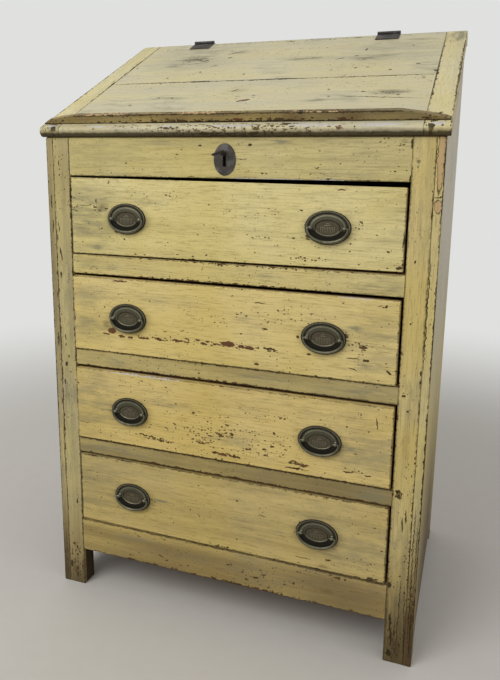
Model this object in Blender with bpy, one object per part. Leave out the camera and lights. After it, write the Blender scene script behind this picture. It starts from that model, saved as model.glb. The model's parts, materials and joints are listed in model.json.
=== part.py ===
"""Slant-top clerk's desk over four drawers, built from its separate boards and fittings.

Units are metres and +Z is up. The pieces are modelled with y = 0 on the front face of the carcass
and y growing towards the back. One empty then moves everything, so that the origin lies on the
floor under the middle of the whole object.
"""

import math

import bmesh
import bpy

# Gaps between pieces
CLEAR = 0.0003            # between pieces that touch on the real desk
SEAM = 0.0005             # open joint between two painted boards

# Shading
SMOOTH_ANGLE = math.radians(35)

# Carcass
WIDTH = 0.720             # over the side boards
DEPTH = 0.474             # front face to back face
SIDE_THICKNESS = 0.0135
POST_WIDTH = 0.0358
POST_DEPTH = 0.034
FOOT_HEIGHT = 0.0815      # floor to the underside of the bottom rail
BOTTOM_RAIL_HEIGHT = 0.069
FLAT_RAIL_THICKNESS = 0.020   # top rail and bottom rail, front to back
TOP_RAIL_HEIGHT = 0.068
OPENING_HEIGHTS = (0.147, 0.150, 0.153, 0.150)   # top drawer first
RAIL_HEIGHTS = (0.036, 0.032, 0.030)             # rail under drawer 1, 2 and 3
BACK_THICKNESS = 0.010
BACK_BOARDS = 4           # boards glued edge to edge in the back panel
WELL_FLOOR_THICKNESS = 0.008
TOP_BOARD_DEPTH = 0.0655  # back face to the lid
TOP_BOARD_THICKNESS = 0.020
TOP_BOARD_OVERHANG = 0.004
TENON_LENGTH = 0.012
TENON_SHOULDER = 0.006

# Cut-out between the feet of a side board
SIDE_FOOT_DEPTH = 0.042
ARCH_HEIGHT = 0.045
ARCH_RADIUS = 0.030
ARCH_STEPS = 4

# Runners and guides that carry the drawers, fixed to the side boards
RUNNER_HEIGHT = 0.018
RUNNER_BEARING = 0.013    # how far a runner reaches under the drawer side
GUIDE_HEIGHT = 0.015
HOUSING_DEPTH = 0.003     # how far runners are let into the side board

# Drawers
FRONT_THICKNESS = 0.020
DRAWER_SIDE_THICKNESS = 0.010
DRAWER_BACK_THICKNESS = 0.010
DRAWER_BOTTOM_THICKNESS = 0.006
DRAWER_SIDE_DROP = 0.012  # top edge of a drawer side below the top of its opening
DRAWER_BACK_DROP = 0.004  # top edge of a drawer back below the top of the drawer sides
BOTTOM_LIP = 0.004        # wood left under a drawer bottom in the drawer front
GROOVE_DEPTH = 0.0045
STOP_GAP = 0.0005         # drawer back to back panel
SIDE_GAP_LEFT = 0.0010
SIDE_GAP_RIGHT = 0.0042
FRONT_EDGE_ROUNDING = 0.0015
STANDS_PROUD = (0.0, 0.004, 0.004, 0.0)          # drawer front past the carcass, top drawer first
# Hand-planed gaps round each drawer front: top left, top right, bottom left, bottom right
FRONT_GAPS = (
    (0.0030, 0.0088, 0.0022, 0.0050),
    (0.0048, 0.0066, 0.0018, 0.0014),
    (0.0058, 0.0052, 0.0032, 0.0026),
    (0.0046, 0.0056, 0.0030, 0.0012),
)
TAILS = 3
TAIL_LENGTH = 0.013
TAIL_SHARE = 0.66         # of the pitch, at the wide end of a tail
TAIL_TAPER = 0.0025       # each side of a tail, from its wide end to its root

# Oval handles
HANDLE_INSETS = (0.1174, 0.1242)                 # from the left and right end of the front
HANDLE_HEIGHT = 0.0705    # above the runner
PLATE_END = 0.0105        # plate past the centre of a stud
PLATE_HALF_HEIGHT = 0.0283
PLATE_SIDES = 24
# Share of the half sizes, and height off the drawer front, from the outer edge inwards
PLATE_PROFILE = (
    (1.00, 0.0008), (0.975, 0.0020), (0.91, 0.0020), (0.87, 0.0008),
    (0.78, 0.0012), (0.63, 0.0024), (0.58, 0.0018),
)
POST_SPREAD = 0.0285      # plate centre to post centre
STUD_RADIUS = 0.0022
STUD_HEAD_RADIUS = 0.0031
STUD_CROWN = 0.5          # of the head's radius
STUD_SIDES = 8
BAIL_CLEAR = 0.0008       # bail to the highest part of the plate
BAIL_PIN_RADIUS = 0.0013
BAIL_PIN_PLAY = 0.0003
BAIL_PIN_REACH = 0.0038   # pin past the stud centre, inwards
BAIL_ARM_OUTSET = 0.0052  # arm of the bail past the centre of a stud
BAIL_DROP = 0.0235
BAIL_ARM_RADIUS = 0.0016
BAIL_GRIP_RADIUS = 0.0026
BAIL_BEND = 0.0020
BAIL_STEPS = 12
BAIL_SIDES = 8
SHANK_RADIUS = 0.0018
SHANK_PLAY = 0.0004
NUT_RADIUS = 0.0050
NUT_THICKNESS = 0.0030

# Lid
LID_SLOPE = math.radians(26.76)
LID_THICKNESS = 0.020
LID_SIDE_OVERHANG = 0.0055
LID_FRONT_OVERHANG = 0.0095
CLEAT_WIDTH = 0.0412
LID_TONGUE_LENGTH = 0.009
LID_TONGUE_THICKNESS = 0.006
LID_TONGUE_STOP = 0.020
NOSE_STEPS = 8
LID_CORNER_RADIUS = 0.007
BOARD_JOINT_SHARE = 0.457 # of the lid's slope, from its lower edge
GROOVE_WIDTH = 0.0012
GROOVE_CUT = 0.0010

# Book ledge
LEDGE_HEIGHT = 0.016
LEDGE_THICKNESS = 0.010
LEDGE_SETBACK = 0.0095    # from where the rounded front edge starts
LEDGE_END_LENGTH = 0.075  # worn length at each end
LEDGE_WEAR = (0.45, 0.68) # power of the worn curve, left and right
LEDGE_STEPS = 7
LEDGE_END_LIP = 0.002     # height left at the very end
LEDGE_SIDE_SETBACK = 0.002

# Hinges
HINGE_INSETS = (0.153, 0.1575)                   # from the left and right end of the lid
HINGE_WIDTH = 0.048
HINGE_LEAF_THICKNESS = 0.0016
HINGE_LID_REACH = 0.036
HINGE_FIXED_REACH = 0.030
KNUCKLE_RADIUS = 0.0031
KNUCKLE_SIDES = 16
HINGE_PIN_RADIUS = 0.0013
HINGE_PIN_PLAY = 0.0003
HINGE_SIDE_CLEAR = 0.0006
LEAF_START = 0.0007       # where a leaf starts under its knuckle, off the line through the pin

# Lock, escutcheon and key
KEY_DROP = 0.0262         # key axis below the front top edge of the rail
ESCUTCHEON_HALF_WIDTH = 0.020
ESCUTCHEON_HALF_HEIGHT = 0.027
ESCUTCHEON_DROP = 0.0100  # its centre under the key axis
ESCUTCHEON_SIDES = 32
ESCUTCHEON_PROFILE = ((1.00, 0.0008), (0.93, 0.0018), (0.80, 0.0022))
KEYHOLE_PLAY = 0.0006
KEYHOLE_WIDTH = 0.0062
KEYHOLE_DROP = 0.0218
LOCK_HALF_WIDTH = 0.030
LOCK_DROP = 0.0225        # case below the key axis
LOCK_TOP_DROP = 0.0005    # case top under the sloping top edge of the rail
LOCK_THICKNESS = 0.0135
LOCK_WALL = 0.0022
LOCK_CHAMBER_PLAY = 0.0013
BOLT_HALF_WIDTH = 0.012
BOLT_THICKNESS = 0.004
BOLT_RISE = 0.0073        # bolt foot above the key axis
BOLT_TRAVEL = 0.008
STRIKE_MARGIN = 0.0020    # round the bolt in the lid's mortise
SHANK_OF_KEY_RADIUS = 0.0030
KEY_SIDES = 12
KEY_COLLAR_RADIUS = 0.0044
KEY_COLLAR_LENGTH = 0.003
KEY_COLLAR_STANDS_OFF = 0.0045
KEY_REACH = 0.040         # foremost point of the key's bow, off the carcass front
BOW_HALF_WIDTH = 0.0120
BOW_HALF_LENGTH = 0.0090
BOW_BAR = 0.0034
BOW_THICKNESS = 0.0030
BOW_SIDES = 24
KEY_BIT_REACH = 0.0132
KEY_BIT_THICKNESS = 0.0025
KEY_BIT_LENGTH = 0.0045
KEY_TIP_LENGTH = 0.003

# Worked out from the sizes above
HALF_WIDTH = WIDTH / 2
SIDE_INNER = HALF_WIDTH - SIDE_THICKNESS
POST_OUTER = SIDE_INNER - CLEAR
HALF_OPENING = POST_OUTER - POST_WIDTH
LID_BACK_Y = DEPTH - TOP_BOARD_DEPTH       # where the lid meets the fixed top board
BACK_INNER = DEPTH - BACK_THICKNESS
DRAWER_LENGTH = BACK_INNER - STOP_GAP
SLOPE = math.tan(LID_SLOPE)


def opening_bottoms():
    """Height of the bottom of each drawer opening, top drawer first."""
    heights = [FOOT_HEIGHT + BOTTOM_RAIL_HEIGHT]
    for rail, opening in zip(reversed(RAIL_HEIGHTS), reversed(OPENING_HEIGHTS)):
        heights.append(heights[-1] + opening + rail)
    return heights[::-1]


OPENINGS = opening_bottoms()
TOP_RAIL_BOTTOM = OPENINGS[0] + OPENING_HEIGHTS[0]
FRONT_HEIGHT = TOP_RAIL_BOTTOM + TOP_RAIL_HEIGHT
LID_UNDER = FRONT_HEIGHT + CLEAR           # underside of the lid over the front face
KEY_HEIGHT = FRONT_HEIGHT - KEY_DROP
RIDGE_Z = LID_UNDER + LID_BACK_Y * SLOPE + LID_THICKNESS / math.cos(LID_SLOPE)
TOP_BOARD_UNDER = RIDGE_Z - TOP_BOARD_THICKNESS
CARCASS_TOP = TOP_BOARD_UNDER - CLEAR
PIN_RISE = (KNUCKLE_RADIUS + CLEAR) / math.cos(LID_SLOPE)
PIN = (0.0, LID_BACK_Y, RIDGE_Z + PIN_RISE)
LID_HALF_WIDTH = HALF_WIDTH + LID_SIDE_OVERHANG
PANEL_HALF_WIDTH = LID_HALF_WIDTH - CLEAT_WIDTH
HINGE_CENTRES = (HINGE_INSETS[0] - LID_HALF_WIDTH, LID_HALF_WIDTH - HINGE_INSETS[1])
HINGE_BORE_RADIUS = HINGE_PIN_RADIUS + HINGE_PIN_PLAY
DRAWER_LEFT = -HALF_OPENING + SIDE_GAP_LEFT
DRAWER_RIGHT = HALF_OPENING - SIDE_GAP_RIGHT
BOTTOM_RISE = max(max(gaps[2:]) for gaps in FRONT_GAPS) + BOTTOM_LIP   # drawer bottom above the runner
HANDLE_CENTRES = (DRAWER_LEFT + HANDLE_INSETS[0], DRAWER_RIGHT - HANDLE_INSETS[1])
PLATE_HALF_WIDTH = POST_SPREAD + PLATE_END
PIVOT_HEIGHT = max(height for _, height in PLATE_PROFILE) + BAIL_GRIP_RADIUS + BAIL_CLEAR
BAIL_HALF_WIDTH = POST_SPREAD + BAIL_ARM_OUTSET
BAIL_HOLE_RADIUS = BAIL_PIN_RADIUS + BAIL_PIN_PLAY
SHANK_HOLE_RADIUS = SHANK_RADIUS + SHANK_PLAY
KEYHOLE_RADIUS = SHANK_OF_KEY_RADIUS + KEYHOLE_PLAY
LOCK_CHAMBER_RADIUS = KEY_BIT_REACH + LOCK_CHAMBER_PLAY
LOCK_FRONT = FLAT_RAIL_THICKNESS / 2 + CLEAR
FRONT_Y = (KEY_REACH - DEPTH) / 2          # centres the whole object on the origin


def sloped_edge(y):
    """Height of the sloping top edge of the carcass at a depth."""
    return FRONT_HEIGHT + y * SLOPE


# Shapes. Each call gives a function that adds its closed shape to a mesh.

def placed(axis, first, second, along):
    """A point from its two coordinates across an axis and the one along it."""
    if axis == "x":
        return (along, first, second)
    if axis == "y":
        return (first, along, second)
    return (first, second, along)


def prism(outline, axis, low, high):
    """An outline across an axis, drawn out along it."""
    def add(mesh):
        ring = [mesh.verts.new(placed(axis, a, b, low)) for a, b in outline]
        grown = bmesh.ops.extrude_face_region(mesh, geom=[mesh.faces.new(ring)])
        tops = [item for item in grown["geom"] if isinstance(item, bmesh.types.BMVert)]
        bmesh.ops.translate(mesh, verts=tops, vec=placed(axis, 0.0, 0.0, high - low))
    return add


def box(low, high):
    """A box between two corners."""
    corners = [(low[0], low[1]), (high[0], low[1]), (high[0], high[1]), (low[0], high[1])]
    return prism(corners, "z", low[2], high[2])


def oval(centre, half_first, half_second, sides):
    """Points of an ellipse."""
    turns = [math.tau * step / sides for step in range(sides)]
    return [(centre[0] + half_first * math.cos(turn), centre[1] + half_second * math.sin(turn))
            for turn in turns]


def rod(axis, centre, radius, low, high, sides):
    """A round bar along an axis."""
    return prism(oval(centre, radius, radius, sides), axis, low, high)


def skin(rings):
    """Rings of points joined one to the next, with both ends closed."""
    def add(mesh):
        loops = [[mesh.verts.new(point) for point in ring] for ring in rings]
        mesh.faces.new(loops[0])
        mesh.faces.new(loops[-1])
        count = len(loops[0])
        for near, far in zip(loops, loops[1:]):
            for i in range(count):
                j = (i + 1) % count
                mesh.faces.new((near[i], near[j], far[j], far[i]))
    return add


def turned(profile, sides, across=1.0, up=1.0, centre=(0.0, 0.0)):
    """Round or oval rings along Y. The profile gives each ring's share of the half sizes and its y."""
    rings = []
    for share, y in profile:
        ring = oval(centre, share * across, share * up, sides)
        rings.append([(x, y, z) for x, z in ring])
    return skin(rings)


def bent_rod(path, radii, sides):
    """A round bar along a path of (x, z) points in the plane y = 0."""
    rings = []
    for i, (x, z) in enumerate(path):
        before, after = path[max(i - 1, 0)], path[min(i + 1, len(path) - 1)]
        run_x, run_z = after[0] - before[0], after[1] - before[1]
        length = math.hypot(run_x, run_z)
        side_x, side_z = -run_z / length, run_x / length
        ring = []
        for across, depth in oval((0.0, 0.0), radii[i], radii[i], sides):
            ring.append((x + side_x * across, depth, z + side_z * across))
        rings.append(ring)
    return skin(rings)


# Objects

def finish(name, colour, roughness, metallic):
    """A plain material."""
    material = bpy.data.materials.new(name)
    material.use_nodes = True
    shader = material.node_tree.nodes["Principled BSDF"]
    shader.inputs["Base Color"].default_value = (*colour, 1.0)
    shader.inputs["Roughness"].default_value = roughness
    shader.inputs["Metallic"].default_value = metallic
    return material


def raw_object(name, shapes, parent, location, rotation=(0.0, 0.0, 0.0)):
    """An object holding the given shapes."""
    mesh = bmesh.new()
    for add in shapes:
        add(mesh)
    bmesh.ops.recalc_face_normals(mesh, faces=mesh.faces)
    data = bpy.data.meshes.new(name)
    mesh.to_mesh(data)
    mesh.free()
    item = bpy.data.objects.new(name, data)
    item.parent = parent
    item.location = location
    item.rotation_euler = rotation
    bpy.context.scene.collection.objects.link(item)
    return item


def combine(item, operation, shapes):
    """Join shapes to an object, or cut them out of it, in the object's own coordinates."""
    tool = raw_object(f"{item.name}_{operation.lower()}", shapes, item, (0.0, 0.0, 0.0))
    tool.hide_render = True
    tool.display_type = "WIRE"
    change = item.modifiers.new(operation.title(), "BOOLEAN")
    change.operation = operation
    change.solver = "EXACT"
    change.object = tool


def make(name, material, parent, shapes, joined=(), cuts=(), location=(0.0, 0.0, 0.0),
         edge=0.0, smooth=False):
    """A finished piece. Each entry of joined is one shape, and each entry of cuts a list of shapes."""
    item = raw_object(name, shapes, parent, location)
    item.data.materials.append(material)
    if smooth:
        item.data.shade_smooth()
        item.data.set_sharp_from_angle(angle=SMOOTH_ANGLE)
    if edge:
        bevel = item.modifiers.new("Rounded edges", "BEVEL")
        bevel.width = edge
        bevel.segments = 2
        bevel.limit_method = "ANGLE"
    for shape in joined:
        combine(item, "UNION", [shape])
    for cut in cuts:
        combine(item, "DIFFERENCE", cut)
    return item


def frame_at(name, location, parent=None, rotation=(0.0, 0.0, 0.0)):
    """An empty that carries other pieces."""
    empty = bpy.data.objects.new(name, None)
    empty.location = location
    empty.rotation_euler = rotation
    empty.parent = parent
    bpy.context.scene.collection.objects.link(empty)
    return empty


# Carcass

def mirrored(sign, low, high):
    """A box given on the right-hand side, or its mirror image on the left."""
    if sign > 0:
        return box(low, high)
    return box((-high[0], low[1], low[2]), (-low[0], high[1], high[2]))


def side_outline():
    """Side board seen from the side, with the cut-out between its feet."""
    front_foot, back_foot = SIDE_FOOT_DEPTH, DEPTH - SIDE_FOOT_DEPTH
    points = [(0.0, 0.0), (front_foot, 0.0)]
    turns = [math.pi / 2 * step / ARCH_STEPS for step in range(ARCH_STEPS + 1)]
    for turn in turns:
        points.append((front_foot + ARCH_RADIUS * (1 - math.cos(turn)),
                       ARCH_HEIGHT - ARCH_RADIUS * (1 - math.sin(turn))))
    for turn in reversed(turns):
        points.append((back_foot - ARCH_RADIUS * (1 - math.cos(turn)),
                       ARCH_HEIGHT - ARCH_RADIUS * (1 - math.sin(turn))))
    points += [(back_foot, 0.0), (DEPTH, 0.0), (DEPTH, CARCASS_TOP), (LID_BACK_Y, CARCASS_TOP),
               (LID_BACK_Y, sloped_edge(LID_BACK_Y)), (0.0, FRONT_HEIGHT)]
    return points


def side_board(name, sign, material, parent):
    """Side board with the drawer runners, guides and well floor bearers fixed to it."""
    near, far = POST_DEPTH + CLEAR, BACK_INNER - CLEAR
    let_in = SIDE_INNER + HOUSING_DEPTH
    strips = []
    for bottom in OPENINGS:
        strips.append(mirrored(sign, (HALF_OPENING - RUNNER_BEARING, near, bottom - RUNNER_HEIGHT),
                               (let_in, far, bottom)))
        strips.append(mirrored(sign, (HALF_OPENING + CLEAR, near, bottom - RUNNER_HEIGHT / 2),
                               (let_in, far, bottom + GUIDE_HEIGHT)))
    strips.append(mirrored(sign, (HALF_OPENING + CLEAR, near, TOP_RAIL_BOTTOM - GUIDE_HEIGHT),
                           (let_in, far, TOP_RAIL_BOTTOM)))
    low, high = sorted((sign * SIDE_INNER, sign * HALF_WIDTH))
    return make(name, material, parent, [prism(side_outline(), "x", low, high)], joined=strips)


def rail_levels():
    """Bottom and top of every rail that is tenoned into the posts, with its depth front to back."""
    levels = [(TOP_RAIL_BOTTOM, FRONT_HEIGHT, FLAT_RAIL_THICKNESS)]
    for bottom, height in zip(OPENINGS, RAIL_HEIGHTS):
        levels.append((bottom - height, bottom, POST_DEPTH))
    levels.append((FOOT_HEIGHT, FOOT_HEIGHT + BOTTOM_RAIL_HEIGHT, FLAT_RAIL_THICKNESS))
    return levels


def tenon(sign, level, reach, slack):
    """Tenon at one end of a rail, or with slack added, the mortise that holds it."""
    bottom, top, depth = level
    start = HALF_OPENING - TENON_SHOULDER
    return mirrored(sign,
                    (start, TENON_SHOULDER - slack, bottom + TENON_SHOULDER - slack),
                    (reach + slack, depth - TENON_SHOULDER + slack, top - TENON_SHOULDER + slack))


def front_post(name, sign, material, parent):
    """Front post, which is also the inner part of the front foot."""
    low, high = sorted((sign * HALF_OPENING, sign * POST_OUTER))
    outline = [(0.0, 0.0), (POST_DEPTH, 0.0), (POST_DEPTH, sloped_edge(POST_DEPTH)),
               (0.0, FRONT_HEIGHT)]
    mortises = [tenon(sign, level, HALF_OPENING + TENON_LENGTH, CLEAR) for level in rail_levels()]
    return make(name, material, parent, [prism(outline, "x", low, high)], cuts=[mortises])


def keyhole(axis_z, grow, near, far):
    """Keyhole through y from near to far: a round hole with a slot under it."""
    outline = []
    half_slot = KEYHOLE_WIDTH / 2 + grow
    radius = KEYHOLE_RADIUS + grow
    start = math.asin(half_slot / radius)
    for step in range(KEY_SIDES + 1):
        turn = start + (math.tau - 2 * start) * step / KEY_SIDES
        outline.append((-radius * math.sin(turn), axis_z - radius * math.cos(turn)))
    outline.append((half_slot, axis_z - KEYHOLE_DROP - grow))
    outline.append((-half_slot, axis_z - KEYHOLE_DROP - grow))
    return prism(outline, "y", near, far)


def top_rail(material, parent):
    """Fixed rail under the lid, bored for the key and let out behind for the lock."""
    level = rail_levels()[0]
    half = HALF_OPENING - CLEAR
    depth = FLAT_RAIL_THICKNESS
    outline = [(0.0, TOP_RAIL_BOTTOM), (depth, TOP_RAIL_BOTTOM), (depth, sloped_edge(depth)),
               (0.0, FRONT_HEIGHT)]
    tenons = [tenon(sign, level, HALF_OPENING + TENON_LENGTH, 0.0) for sign in (-1, 1)]
    recess = box((-LOCK_HALF_WIDTH - CLEAR, LOCK_FRONT - CLEAR, KEY_HEIGHT - LOCK_DROP - CLEAR),
                 (LOCK_HALF_WIDTH + CLEAR, 2 * depth, 2 * FRONT_HEIGHT))
    return make("top_rail", material, parent, [prism(outline, "x", -half, half)], joined=tenons,
                cuts=[[recess], [keyhole(KEY_HEIGHT, CLEAR, -depth, depth)]])


def rail(name, level, material, parent):
    """Rail between the posts, with a tenon at each end."""
    bottom, top, depth = level
    half = HALF_OPENING - CLEAR
    tenons = [tenon(sign, level, HALF_OPENING + TENON_LENGTH, 0.0) for sign in (-1, 1)]
    return make(name, material, parent, [box((-half, 0.0, bottom), (half, depth, top))],
                joined=tenons)


def back_panel(material, parent):
    """Panel of boards glued edge to edge, with the open glue lines as grooves on the outside."""
    pitch = (CARCASS_TOP - ARCH_HEIGHT) / BACK_BOARDS
    outline = [(BACK_INNER, CARCASS_TOP), (BACK_INNER, ARCH_HEIGHT), (DEPTH, ARCH_HEIGHT)]
    for board in range(1, BACK_BOARDS):
        joint = ARCH_HEIGHT + board * pitch
        outline += [(DEPTH, joint - GROOVE_WIDTH), (DEPTH - GROOVE_CUT, joint),
                    (DEPTH, joint + GROOVE_WIDTH)]
    outline.append((DEPTH, CARCASS_TOP))
    half = SIDE_INNER - CLEAR
    return make("back_panel", material, parent, [prism(outline, "x", -half, half)])


def well_floor(material, parent):
    """Floor of the desk well, notched round the front posts."""
    half, notch = SIDE_INNER - CLEAR, HALF_OPENING - CLEAR
    near, behind_post, far = FLAT_RAIL_THICKNESS + CLEAR, POST_DEPTH + CLEAR, BACK_INNER - CLEAR
    outline = [(-notch, near), (notch, near), (notch, behind_post), (half, behind_post),
               (half, far), (-half, far), (-half, behind_post), (-notch, behind_post)]
    low = TOP_RAIL_BOTTOM + CLEAR
    return make("well_floor", material, parent,
                [prism(outline, "z", low, low + WELL_FLOOR_THICKNESS)])


def top_board(material, parent):
    """Fixed flat board behind the lid."""
    half = HALF_WIDTH + TOP_BOARD_OVERHANG
    return make("top_board", material, parent,
                [box((-half, LID_BACK_Y + SEAM, TOP_BOARD_UNDER), (half, DEPTH, RIDGE_Z))],
                edge=FRONT_EDGE_ROUNDING)


# Lid. Its pieces are modelled from the hinge pin, with -Y running down the slope.

LID_TOP = -(KNUCKLE_RADIUS + CLEAR)
LID_BOTTOM = LID_TOP - LID_THICKNESS
NOSE_RADIUS = LID_THICKNESS / 2
NOSE_Z = LID_TOP - NOSE_RADIUS
NOSE_Y = (NOSE_RADIUS - LID_FRONT_OVERHANG - LID_BACK_Y
          + NOSE_Z * math.sin(LID_SLOPE)) / math.cos(LID_SLOPE)
LEDGE_FRONT = NOSE_Y + LEDGE_SETBACK


def lid_back(z):
    """Lid's back edge, cut plumb, at a height in the lid's own frame."""
    return (z * math.sin(LID_SLOPE) - SEAM) / math.cos(LID_SLOPE)


def lid_section(board_joint):
    """Section of the lid from back to front, with or without the open joint between its boards."""
    points = [(lid_back(LID_TOP), LID_TOP), (lid_back(LID_BOTTOM), LID_BOTTOM)]
    for step in range(NOSE_STEPS + 1):
        turn = math.pi * step / NOSE_STEPS
        points.append((NOSE_Y - NOSE_RADIUS * math.sin(turn),
                       NOSE_Z - NOSE_RADIUS * math.cos(turn)))
    if board_joint:
        joint = NOSE_Y + (lid_back(LID_TOP) - NOSE_Y) * BOARD_JOINT_SHARE
        points += [(joint - GROOVE_WIDTH / 2, LID_TOP), (joint, LID_TOP - GROOVE_CUT),
                   (joint + GROOVE_WIDTH / 2, LID_TOP)]
    return points


def lid_tongue(sign, reach, slack):
    """Tongue on one end of the lid panel, or with slack added, its groove in the cleat."""
    start = PANEL_HALF_WIDTH - LID_TONGUE_LENGTH
    half = LID_TONGUE_THICKNESS / 2 + slack
    return mirrored(sign, (start, NOSE_Y + LID_TONGUE_STOP - slack, NOSE_Z - half),
                    (reach + slack, lid_back(LID_BOTTOM) - LID_TONGUE_STOP + slack, NOSE_Z + half))


def lid_panel(material, parent, strike):
    """Lid panel of two glued boards, with the lock's mortise under its front edge."""
    half = PANEL_HALF_WIDTH
    tongues = [lid_tongue(sign, PANEL_HALF_WIDTH + LID_TONGUE_LENGTH, 0.0) for sign in (-1, 1)]
    panel = make("lid_panel", material, parent, [prism(lid_section(True), "x", -half, half)],
                 joined=tongues)
    cut = panel.modifiers.new("Strike", "BOOLEAN")
    cut.operation = "DIFFERENCE"
    cut.solver = "EXACT"
    cut.object = strike
    return panel


def strike_cutter(parent):
    """Mortise that the lock bolt shoots into, upright in the closed lid."""
    low_y = bolt_front() - STRIKE_MARGIN
    high_y = low_y + BOLT_THICKNESS + 2 * STRIKE_MARGIN
    half = BOLT_HALF_WIDTH + STRIKE_MARGIN
    shape = box((-half, low_y, FRONT_HEIGHT - STRIKE_MARGIN),
                (half, high_y, lock_top() + BOLT_TRAVEL + STRIKE_MARGIN))
    cutter = raw_object("strike_mortise", [shape], parent, (0.0, 0.0, 0.0))
    cutter.hide_render = True
    cutter.display_type = "WIRE"
    return cutter


def lid_cleat(name, sign, material, parent):
    """End cleat of the lid, its outer back corner worn round."""
    low, high = sorted((sign * (PANEL_HALF_WIDTH + SEAM), sign * LID_HALF_WIDTH))
    groove = lid_tongue(sign, PANEL_HALF_WIDTH + LID_TONGUE_LENGTH, CLEAR)
    back = lid_back(LID_TOP)
    worn = LID_CORNER_RADIUS
    wedge = [(sign * (LID_HALF_WIDTH - worn), back + worn), (sign * (LID_HALF_WIDTH + worn), back + worn),
             (sign * (LID_HALF_WIDTH + worn), back - worn - NOSE_RADIUS)]
    for step in range(ARCH_STEPS + 1):
        turn = math.pi / 2 * step / ARCH_STEPS
        wedge.append((sign * (LID_HALF_WIDTH - worn + worn * math.cos(turn)),
                      back - worn + worn * math.sin(turn)))
    corner = prism(wedge, "z", 2 * LID_BOTTOM, -LID_TOP)
    return make(name, material, parent, [prism(lid_section(False), "x", low, high)],
                cuts=[[groove], [corner]])


def book_ledge(material, parent):
    """Strip that stops a book sliding off, worn down towards both ends."""
    half = LID_HALF_WIDTH - LEDGE_SIDE_SETBACK
    low = LID_TOP + CLEAR
    left, right = [], []
    for step in range(LEDGE_STEPS + 1):
        run = LEDGE_END_LENGTH * step / LEDGE_STEPS
        for side, power, points in ((-1, LEDGE_WEAR[0], left), (1, LEDGE_WEAR[1], right)):
            rise = LEDGE_END_LIP + (LEDGE_HEIGHT - LEDGE_END_LIP) * (step / LEDGE_STEPS) ** power
            points.append((side * (half - run), low + rise))
    outline = [(half, low), *right, *reversed(left), (-half, low)]
    return make("book_ledge", material, parent,
                [prism(outline, "y", LEDGE_FRONT, LEDGE_FRONT + LEDGE_THICKNESS)])


# Hinges, modelled from the pin

def hinge_stations(centre):
    """Ends of the three knuckles across the hinge."""
    third = HINGE_WIDTH / 3
    start = centre - HINGE_WIDTH / 2
    return [start + third * step for step in range(4)]


def hinge_fixed_leaf(name, centre, material, parent):
    """Leaf on the top board, with the outer knuckles and the pin."""
    ends = hinge_stations(centre)
    low = -PIN_RISE + CLEAR
    high = low + HINGE_LEAF_THICKNESS
    clear_y = KNUCKLE_RADIUS + HINGE_SIDE_CLEAR
    inner, outer = ends[1] - HINGE_SIDE_CLEAR, ends[2] + HINGE_SIDE_CLEAR
    outline = [(ends[0], LEAF_START), (inner, LEAF_START), (inner, clear_y), (outer, clear_y),
               (outer, LEAF_START), (ends[3], LEAF_START), (ends[3], HINGE_FIXED_REACH),
               (ends[0], HINGE_FIXED_REACH)]
    knuckles = [
        rod("x", (0.0, 0.0), KNUCKLE_RADIUS, ends[0], inner, KNUCKLE_SIDES),
        rod("x", (0.0, 0.0), KNUCKLE_RADIUS, outer, ends[3], KNUCKLE_SIDES),
        rod("x", (0.0, 0.0), HINGE_PIN_RADIUS, ends[0] + HINGE_PIN_RADIUS, ends[3] - HINGE_PIN_RADIUS,
            KNUCKLE_SIDES),
    ]
    return make(name, material, parent, [prism(outline, "z", low, high)], joined=knuckles)


def hinge_lid_leaf(name, centre, material, parent):
    """Leaf on the lid, with the middle knuckle."""
    ends = hinge_stations(centre)
    low = LID_TOP + CLEAR
    high = low + HINGE_LEAF_THICKNESS
    clear_y = -(KNUCKLE_RADIUS + HINGE_SIDE_CLEAR)
    outline = [(ends[0], clear_y), (ends[0], -HINGE_LID_REACH), (ends[3], -HINGE_LID_REACH),
               (ends[3], clear_y), (ends[2], clear_y), (ends[2], -LEAF_START), (ends[1], -LEAF_START),
               (ends[1], clear_y)]
    knuckle = rod("x", (0.0, 0.0), KNUCKLE_RADIUS, ends[1], ends[2], KNUCKLE_SIDES)
    bore = rod("x", (0.0, 0.0), HINGE_BORE_RADIUS, ends[1] - HINGE_WIDTH, ends[2] + HINGE_WIDTH,
               KNUCKLE_SIDES)
    return make(name, material, parent, [prism(outline, "z", low, high)], joined=[knuckle],
                cuts=[[bore]])


# Lock

def bolt_front():
    """Front face of the lock bolt."""
    return LOCK_FRONT + LOCK_WALL + CLEAR


def lock_top():
    """Top of the lock case, and of the bolt drawn back."""
    return sloped_edge(LOCK_FRONT) - LOCK_TOP_DROP


def lock_case(material, parent):
    """Iron case let into the back of the top rail, hollow for the key's bit and the bolt."""
    top = lock_top()
    back = LOCK_FRONT + LOCK_THICKNESS
    inner_back = back - LOCK_WALL
    body = box((-LOCK_HALF_WIDTH, LOCK_FRONT, KEY_HEIGHT - LOCK_DROP), (LOCK_HALF_WIDTH, back, top))
    chamber = rod("y", (0.0, KEY_HEIGHT), LOCK_CHAMBER_RADIUS, LOCK_FRONT + LOCK_WALL, inner_back,
                  2 * KEY_SIDES)
    slot = box((-BOLT_HALF_WIDTH - CLEAR, LOCK_FRONT + LOCK_WALL, KEY_HEIGHT + BOLT_RISE / 2),
               (BOLT_HALF_WIDTH + CLEAR, bolt_front() + BOLT_THICKNESS + CLEAR, 2 * top))
    entry = rod("y", (0.0, KEY_HEIGHT), KEYHOLE_RADIUS, 0.0, LOCK_FRONT + 2 * LOCK_WALL, KEY_SIDES)
    tip_hole = rod("y", (0.0, KEY_HEIGHT), SHANK_OF_KEY_RADIUS + CLEAR, LOCK_FRONT + LOCK_WALL,
                   2 * back, KEY_SIDES)
    return make("lock_case", material, parent, [body],
                cuts=[[chamber], [slot], [entry], [tip_hole]])


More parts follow.
